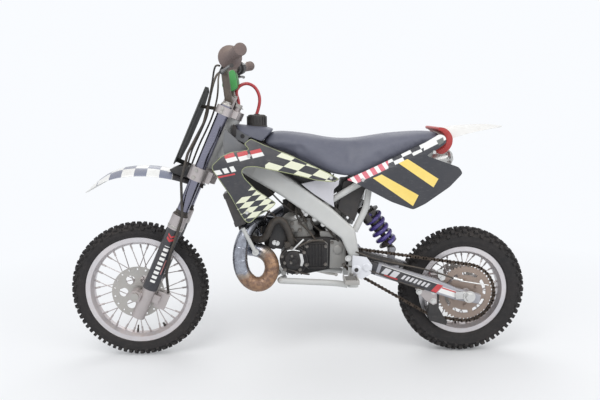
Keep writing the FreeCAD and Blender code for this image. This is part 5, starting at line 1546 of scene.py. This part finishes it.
def makeArmTrim():
    slider = ((346, 343), (209, 304), (196, 296), (200, 287), (346, 322))
    parts = [plateMesh(slider, 42, 64, 3), boxMesh((12, 93, 194), (42, 98, 218), 1.5)]
    finishPiece("chainSlider", parts[0], "blackPlastic")
    gusset = ((163, 222), (94, 222), (92, 173), (104, 168), (131, 186))
    finishPiece("guideBracket", plateMesh(gusset, 66, 71, 1.5), "castSilver")
    rows = [(spot(0, 98, 202), leftward, Vector((1, 0, 0.01)), Vector((1, 1, 1.4)))]
    nuts = scattered(boltShape("brightSilver"), rows, across=0.026, height=0.0076)
    small = facing(leftward, ((374, 94, 325), (150, 71, 212), (104, 71, 212), (104, 71, 182),
                              (84, 92.6, 262)))
    bolts = scattered(boltShape("brightSilver"), small, across=0.013, height=0.005)
    adjuster = [(3, 0), (4.6, 1), (4.6, 12), (3.4, 13), (3.4, 22), (4.6, 23), (4.6, 30), (3, 31)]
    rod = [tubeMesh([(24, 99, 252), (-20, 99, 244), (-58, 99, 238)], 2.0),
           turned(adjuster, (53, 99, 262), (-1, 0, -0.28), 20),
           plateMesh(((100, 288), (84, 290), (80, 266), (98, 262)), 93.2, 97, 1)]
    finishPiece("armHardware", [parts[1], nuts, bolts, *rod], "brightSilver")
    cable = tubeMesh([(352, 98, 346), (320, 99, 334), (289, 99, 322), (204, 99, 304),
                      (120, 99, 286), (53, 99, 262)], 2.4)
    finishPiece("armCable", cable, "blackRubber")


def makeShock():
    # a coil of thick wire between two seats, on a damper with its reserve tank
    top, foot = spot(312, 0, 476), spot(226, 0, 334)
    way = (foot - top).normalized()
    other = way.cross(leftward)
    start, long, turns, steps, radius = 0.029, 0.112, 5, 80, 0.0256
    places = []
    for count in range(steps + 1):
        share = count / steps
        turn = 2 * math.pi * turns * share
        reach = leftward * math.cos(turn) + other * math.sin(turn)
        places.append(top + way * (start + long * share) + reach * radius)
    coil = tubeMesh(places, 6.6, steps=2, around=4)
    finishPiece("shockCoil", coil, "violetCoil", stands="shock_spring", smooth=60)
    profile = [(7, 12), (17, 14), (17, 22), (30.5, 23), (30.5, 28), (19, 29), (19, 92),
               (16.5, 94), (9, 95), (9, 134), (26, 139), (30, 142), (30, 146), (12, 148), (8, 160)]
    body = turned(profile, top, way, 48)
    eyes = [lathe([(6.2, -15), (12, -15), (12, 15), (6.2, 15)], place, steps=32)
            for place in (top, foot)]
    reserve = turned([(6, 0), (16, 2), (16.5, 6), (16.5, 50), (14, 54), (5, 56)],
                     top + way * 0.012 + Vector((0.022, 0.018, 0.004)), way, 32)
    finishPiece("shockDamper", [body, reserve, *eyes], "blackPaint", stands="shock_body")


def makeRails():
    # lower rails and a stay in front of the header
    rails = []
    for side in (1, -1):
        points = ((566, 30, 250), (578, 58, 252), (580, 80, 254), (540, 82, 253),
                  (470, 82, 249), (397, 84, 245), (374, 86, 240))
        rails.append(tubeMesh([(x, side * y, z) for x, y, z in points], 9.5))
    finishPiece("lowerRails", rails, "framePaint", stands="lower_rails")
    stay = [tubeMesh([(690, 112, 424), (672, 113, 388), (653, 108, 350)], 6.2),
            turned([(10, -3), (10, 3), (4, 4)], (653, 108, 350), steps=24)]
    finishPiece("pipeStay", stay, "framePaint")


def makeDarkParts():
    # ignition box and cylinder base ahead of the engine, boots and guards behind it
    front = ((604, 424), (570, 430), (556, 372), (574, 346), (616, 352))
    box = plateMesh(front, 30, 56, 4)
    base = plateMesh(((646, 432), (600, 440), (572, 350), (600, 338), (626, 350)), 4, 24, 4)
    inner = plateMesh(((570, 486), (520, 500), (414, 420), (404, 384), (560, 378)), -46, -40, 2)
    finishPiece("ignitionBox", [box, base, inner], "blackPlastic")
    rows = facing(leftward, (
        (596, 57, 368), (588, 57, 366), (511, 34, 461), (500, 36, 452), (472, 32, 436),
        (527, 40, 445), (432, 34, 398), (446, 36, 420), (486, 34, 470)))
    bolts = scattered(boltShape("brightSilver"), rows, across=0.0105, height=0.006)
    finishPiece("smallBolts", bolts, "brightSilver")
    routes = (((520, 50, 500), (536, 56, 470), (520, 62, 430), (486, 60, 400),
                    (470, 64, 372)),
              ((470, 40, 470), (490, 48, 440), (470, 50, 410), (440, 44, 392)),
              ((420, 60, 470), (440, 56, 430), (424, 60, 392), (400, 62, 372)),
              ((610, 50, 466), (640, 60, 430), (636, 62, 400)))
    finishPiece("loomCables", [tubeMesh(points, 3) for points in routes], "blackRubber")


makeChain()
makeShock()
makeRails()
makeDarkParts()
makePivots()
makePegs()
makeArmTrim()
print("drive made")


# Handlebar controls, cables, clamps and fork trim; places beside the steering axis
controlPlan = {
    "barEnd": (33, 345, 784), "barBend": (69, 190, 748), "ribs": 9, "leverTurn": 86,
    "perch": (132, 154), "perchRadius": 17.5,
    "pad": ((15, 0), (8, 38), (2, 45), (-7, 44), (-30, 8), (-31, 1), (-20, -15), (9, -15)),
    "padHalf": 75, "padPlace": (51, 692),
    # cable points in millimetres from the left perch and the throttle to the fender mount
    "clutchCable": ((741, 226, 888), (752, 196, 893), (764, 132, 884), (772, 98, 852),
                    (784, 72, 807), (790, 58, 760), (806, 54, 722), (826, 52, 682),
                    (845, 50, 645), (858, 42, 598)),
    "throttleCable": ((728, -234, 906), (748, -190, 908), (764, -110, 897), (766, -30, 868),
                      (762, 24, 842), (764, 34, 806), (777, 38, 757), (797, 40, 712),
                      (824, 40, 660), (848, 36, 598)),
    "brakeHoseTop": ((738, -226, 886), (756, -160, 892), (772, -70, 884), (779, -4, 850),
                     (784, 30, 818), (787, 36, 805)),
}


def stemWay(x, y, z):
    return Vector((x * rakeCos - z * rakeSin, y, x * rakeSin + z * rakeCos))


def barSide(side):
    # the end of the bar, the way inwards, ahead and the way down at right angles to both
    end, bend = (Vector(controlPlan[key]) for key in ("barEnd", "barBend"))
    end.y, bend.y = end.y * side, bend.y * side
    way = (bend - end).normalized()
    ahead = way.cross(upward).normalized()
    ahead *= 1 if ahead.x > 0 else -1
    return end, way, ahead, -(upward - way * upward.dot(way)).normalized()


def barLathe(side, rows, steps=56):
    end, way, _, _ = barSide(side)
    return turned(rows, stemSpot(*end), stemWay(*way), steps)


def makeGrips():
    parts = []
    for side in (1, -1):
        rows = [(11, -3.6), (15, -3), (16.6, -1), (16.6, 3), (15.4, 5)]
        for count in range(controlPlan["ribs"]):
            start = 8 + 7 * count
            rows += [(16.1, start), (16.1, start + 4), (15.5, start + 4.6), (15.5, start + 6.6)]
        if side > 0:
            rows += [(17, 76), (19.5, 86), (23.5, 96), (29, 105), (32.5, 110), (33, 112),
                     (32, 114), (12, 115)]
        else:
            rows += [(17, 78), (19, 90), (22, 100), (22, 104), (12, 105)]
        parts.append(barLathe(side, rows))
    finishPiece("gripPair", parts, "gripRubber", "steering", "grips", 40)


def makeLevers():
    turn = math.radians(controlPlan["leverTurn"])
    low, high = controlPlan["perch"]
    radius = controlPlan["perchRadius"]
    perches, blades = [], []
    for side in (1, -1):
        end, way, ahead, down = barSide(side)
        reach = ahead * math.cos(turn) + down * math.sin(turn)
        across = way.cross(reach)
        perches.append(barLathe(side, [(12, low), (radius - 1, low), (radius, low + 1.5),
                                       (radius, high - 1.5), (radius - 1, high), (12, high)]))

        def place(a, b, c):
            return stemSpot(*(end + way * a + reach * b + across * c))

        perches.append(boxMesh((low + 3, 10, -7), (high - 3, 42, 7), 2.5, place))
        rows = ((11, 34, 6.5), (2, 37, 6), (-29, 39, 4.6), (-60, 37, 4.2), (-92, 38, 4.2),
                (-108, 41, 4.8), (-112, 42, 5.4))
        points = [place(low + a, b, 0) for a, b, _ in rows]
        blades.append(tubeMesh(points, 1, [row[2] for row in rows], steps=6, around=5))
    # throttle housing, its silver cover and the brake's reservoir on the right
    end, way, ahead, down = barSide(-1)

    def place(a, b, c):
        return stemSpot(*(end + way * a + ahead * b + down * c))

    perches.append(barLathe(-1, [(12, 106), (21, 106), (23, 108), (23, 129), (21, 131),
                                 (12, 131)]))
    perches += [boxMesh((109, -10, 8), (128, 26, 26), 4, place),
                boxMesh((132, 6, -22), (158, 30, -4), 4, place)]
    caps = [boxMesh((111, -14, -25.5), (127, 10, -19), 2, place),
            boxMesh((131, 5, -25), (159, 31, -21.5), 1.2, place)]
    finishPiece("leverPair", blades, "blackPaint", "steering", "levers", 40)
    finishPiece("leverCaps", caps, "brightSilver", "steering")
    finishPiece("leverPerches", perches, "blackPlastic", "steering")


def makeBarPad():
    x, z = controlPlan["padPlace"]
    corners = softened(list(controlPlan["pad"]), reach=6)
    outline = [(x + a, z + b) for a, b in corners]
    half = controlPlan["padHalf"]
    pad = plateMesh(outline, -half, half, 3, stemSpot)
    made = finishPiece("barPad", pad, "greenFoam", "steering", "bar_pad", 50)
    rim = [(x + a * 1.04 - 0.3, z + b * 1.03) for a, b in corners]
    bands = [plateMesh(rim, y - 5, y + 5, 0.8, stemSpot) for y in (-46, 46)]
    finishPiece("padBands", bands, "blackRubber", "steering")


def makeCables():
    for name, radius in (("clutchCable", 2.7), ("throttleCable", 2.7), ("brakeHoseTop", 3.6)):
        tube = tubeMesh(controlPlan[name], radius, steps=8)
        finishPiece(name, tube, "blackRubber", "steering", smooth=60)
    strap = plateMesh(((38, 612), (38, 622), (101, 606), (103, 594)), -14, 14, 1.5, stemSpot)
    finishPiece("plateStrap", strap, "blackRubber", "steering")


def makeForkTrim():
    up = stemWay(0, 0, 1)
    seals, caps = [], []
    for side in (1, -1):
        base = stemSpot(28, side * 75, 0)
        boot = [(17.7, 278), (22, 278), (23, 281), (21, 285), (17.7, 286)]
        seals.append(lathe(boot, base, up, 48))
        seals.append(lathe([(17.7, 286), (19, 286), (18.6, 296), (17.7, 296)], base, up, 48))
        caps.append(turned([(16, 633), (16.5, 637), (15, 640), (9, 640)], base, up, 40))
        caps.append(lathe([(24.2, 240), (25, 241), (25, 245), (24.2, 246)], base, up, 48))
    finishPiece("forkSeals", seals, "blackRubber", "steering")
    graph = boltShape("steel")
    ahead = stemWay(1, 0, 0)
    rows = []
    for side in (1, -1):
        rows.append((stemSpot(28, side * 75, 640), up, ahead, Vector((2, 2, 1))))
        for x in (15, 39):
            rows.append((stemSpot(x, side * 32, 665), up))
        for height, reach in ((612, 25.5), (623, 25.5), (405, 27.5), (427, 27.5)):
            rows.append((stemSpot(34, side * (75 + reach - 1), height), Vector((0, side, 0.02))))
    rows.append((stemSpot(0, 0, 641), up, ahead, Vector((3, 3, 1.6))))
    bolts = scattered(graph, rows, across=0.0085, height=0.005)
    finishPiece("clampBolts", [*caps, bolts], "steel", "steering")


# Rear sprocket: two rings, arms and short teeth that stay inside the chain's rollers
sprocketPlan = {"low": 50, "high": 54, "outer": (66, 82.5), "inner": (16, 56), "arms": 6,
                "armWidth": 14, "teeth": 45, "toothRadius": 84, "bolts": 6, "boltRadius": 40}


def makeSprocket():
    plan = sprocketPlan
    row = wheels["rear"]
    centre = spot(row["x"], 0, row["z"])
    low, high = plan["low"], plan["high"]
    parts = []
    for inner, outer in (plan["outer"], plan["inner"]):
        parts.append(lathe([(inner, low), (outer, low), (outer, high), (inner, high)], centre))
    for angle in turnsOf(plan["arms"], 0.3):
        way = Vector((math.sin(angle), math.cos(angle)))
        side = Vector((way.y, -way.x))
        half = plan["armWidth"] / 2
        outline = [way * reach + side * shift for reach, shift in (
            (54, half + 3), (61, half), (68, half + 3), (68, -half - 3), (61, -half),
            (54, -half - 3))]
        outline = [(row["x"] + a, row["z"] + b) for a, b in outline]
        parts.append(plateMesh(outline, low + 0.3, high - 0.3, 0.5))
    graph = NodeShape("sprocketTeeth", {"tall": 0.0058})
    tall = graph.given("tall")
    tooth = graph.cone(4, 0.7071, 0.42, tall, (0, 0, tall * -0.5))
    tooth = graph.moved(tooth, turn=(0, 0, math.pi / 4))
    graph.scatter(tooth, finishes["sprocketSteel"])
    rows = []
    for angle in turnsOf(plan["teeth"]):
        rows.append((wheelPlace(row, plan["toothRadius"], angle, (low + high) / 2),
                     outward(angle), Vector((math.cos(angle), 0, -math.sin(angle))),
                     Vector((0.0075, 0.0036, 1))))
    parts.append(scattered(graph, rows))
    bolts = [(wheelPlace(row, plan["boltRadius"], angle, high), Vector((0, 1, 0.02)))
             for angle in turnsOf(plan["bolts"])]
    parts.append(scattered(boltShape("sprocketSteel"), bolts, across=0.009, height=0.004))
    finishPiece("rearSprocket", parts, "sprocketSteel", "rear_wheel", "rear_sprocket")


# Red band that wraps the tail between the seat and the white fender
tailPlan = {
    "outline": ((108, 718), (98, 719), (84, 715), (71, 704), (63, 688), (64, 668), (73, 652),
                (90, 638), (110, 641), (105, 650), (90, 657), (82, 670), (82, 687),
                (91, 701), (100, 708), (108, 710)),
    "half": 84,
}


def makeTail():
    outline = softened(list(tailPlan["outline"]), reach=5)
    half = tailPlan["half"]
    finishPiece("tailBand", plateMesh(outline, -half, half, 1.5), "redBand", smooth=50)


makeGrips()
makeLevers()
makeBarPad()
makeCables()
makeForkTrim()
makeSprocket()
makeTail()
print("controls, fork trim and tail made")


nodeFinishes = {
    "framePaint": ("steering_head", "main_spars", "down_tube", "lower_rails", "subframe"),
    "castSilver": ("upper_clamp", "lower_clamp", "fork_lowers",
                   "front_caliper", "rear_caliper", "front_hub", "rear_hub"),
    "rimSilver": ("front_rim", "rear_rim"),
    "brightSilver": ("levers",),
    "paleSilver": ("pivot_plates",),
    "chrome": ("fork_tubes",),
    "pipeSteel": ("exhaust_pipe",),
    "silencerMetal": ("silencer",),
    "chainSteel": ("chain",),
    "swingarmFilm": ("swingarm",),
    "steel": ("front_axle", "rear_axle", "front_disc", "rear_disc", "rear_sprocket",
              "front_sprocket", "kickstarter", "brake_pedal", "footpegs"),
    "blackPaint": ("shock_body",),
    "barPaint": ("handlebar",),
    "guardFilm": ("fork_guards",),
    "plateDark": ("number_plate",),
    "engineBlack": ("engine_cases",),
    "engineGrey": ("engine_cylinder", "carburettor"),
    "violetCoil": ("shock_spring",),
    "tyreRubber": ("front_tyre", "rear_tyre"),
    "blackRubber": ("coolant_hose", "front_brake_hose"),
    "gripRubber": ("grips",),
    "redHose": ("vent_hose",),
    "blackPlastic": ("airbox", "radiator", "chain_guide",
                     "tank_cap", "shrouds", "side_panels"),
    "whitePlastic": ("rear_fender", "front_fender"),
    "tankPlastic": ("fuel_tank",),
    "seatVinyl": ("seat", "tank_cover"),
    "greenFoam": ("bar_pad",),
}


def dressNodes():
    for finishName, names in nodeFinishes.items():
        for name in names:
            node = frame["nodes"][name]
            for slot in node.material_slots:
                slot.material = finishes[finishName]
            if not node.material_slots:
                node.data.materials.append(finishes[finishName])


dressNodes()


# Floor, backdrop and light
light = {"key": 60, "fill": 28, "rim": 30, "world": 0.75}


def makeStage():
    floorZ = -stance["seatZ"] / 1000
    bpy.ops.mesh.primitive_plane_add(size=40, location=(0, 0, floorZ))
    floor = bpy.context.object
    floor.name = "floor"
    paint = Finish("floorPaint", roughness=0.9, specular=0.0, glowStrength=1.0)
    x, y, _ = paint.axes()
    far = ((x * x + y * y).maths("SQRT") - 1.1).above(0, 1.8)
    paint.set("colour", paint.blend(far, (0.8, 0.8, 0.8), (0.0, 0.0, 0.0)))
    paint.set("glow", paint.blend(far, (0.0, 0.0, 0.0), (0.95, 0.97, 1.0)))
    floor.data.materials.append(paint.material)
    world = bpy.data.worlds.new("sky")
    world.use_nodes = True
    bpy.context.scene.world = world
    world.node_tree.nodes.clear()
    graph = Graph(world.node_tree)
    rays = world.node_tree.nodes.new("ShaderNodeLightPath")
    seen = Wire(graph, rays.outputs["Is Camera Ray"]) + Wire(graph, rays.outputs[
        "Is Glossy Ray"]) + Wire(graph, rays.outputs["Is Transmission Ray"])
    strength = seen.above(0.5, 0.1) * (1 - light["world"]) + light["world"]
    back = world.node_tree.nodes.new("ShaderNodeBackground")
    back.inputs["Color"].default_value = (0.95, 0.97, 1, 1)
    graph.join(back.inputs["Strength"], strength)
    output = world.node_tree.nodes.new("ShaderNodeOutputWorld")
    world.node_tree.links.new(back.outputs[0], output.inputs["Surface"])
    rows = (("key", (1.2, 2.4, 2.6), 2.2), ("fill", (-2.0, 2.2, 1.2), 2.0),
            ("rim", (0.2, -2.4, 2.2), 2.4))
    for name, place, size in rows:
        data = bpy.data.lights.new(name, "AREA")
        data.energy = light[name]
        data.size = size
        lamp = bpy.data.objects.new(name, data)
        lamp.location = place
        lamp.rotation_euler = (-Vector(place)).to_track_quat("-Z", "Y").to_euler()
        bpy.context.collection.objects.link(lamp)
    bpy.context.scene.view_settings.view_transform = "Standard"


makeStage()
print("stage set")
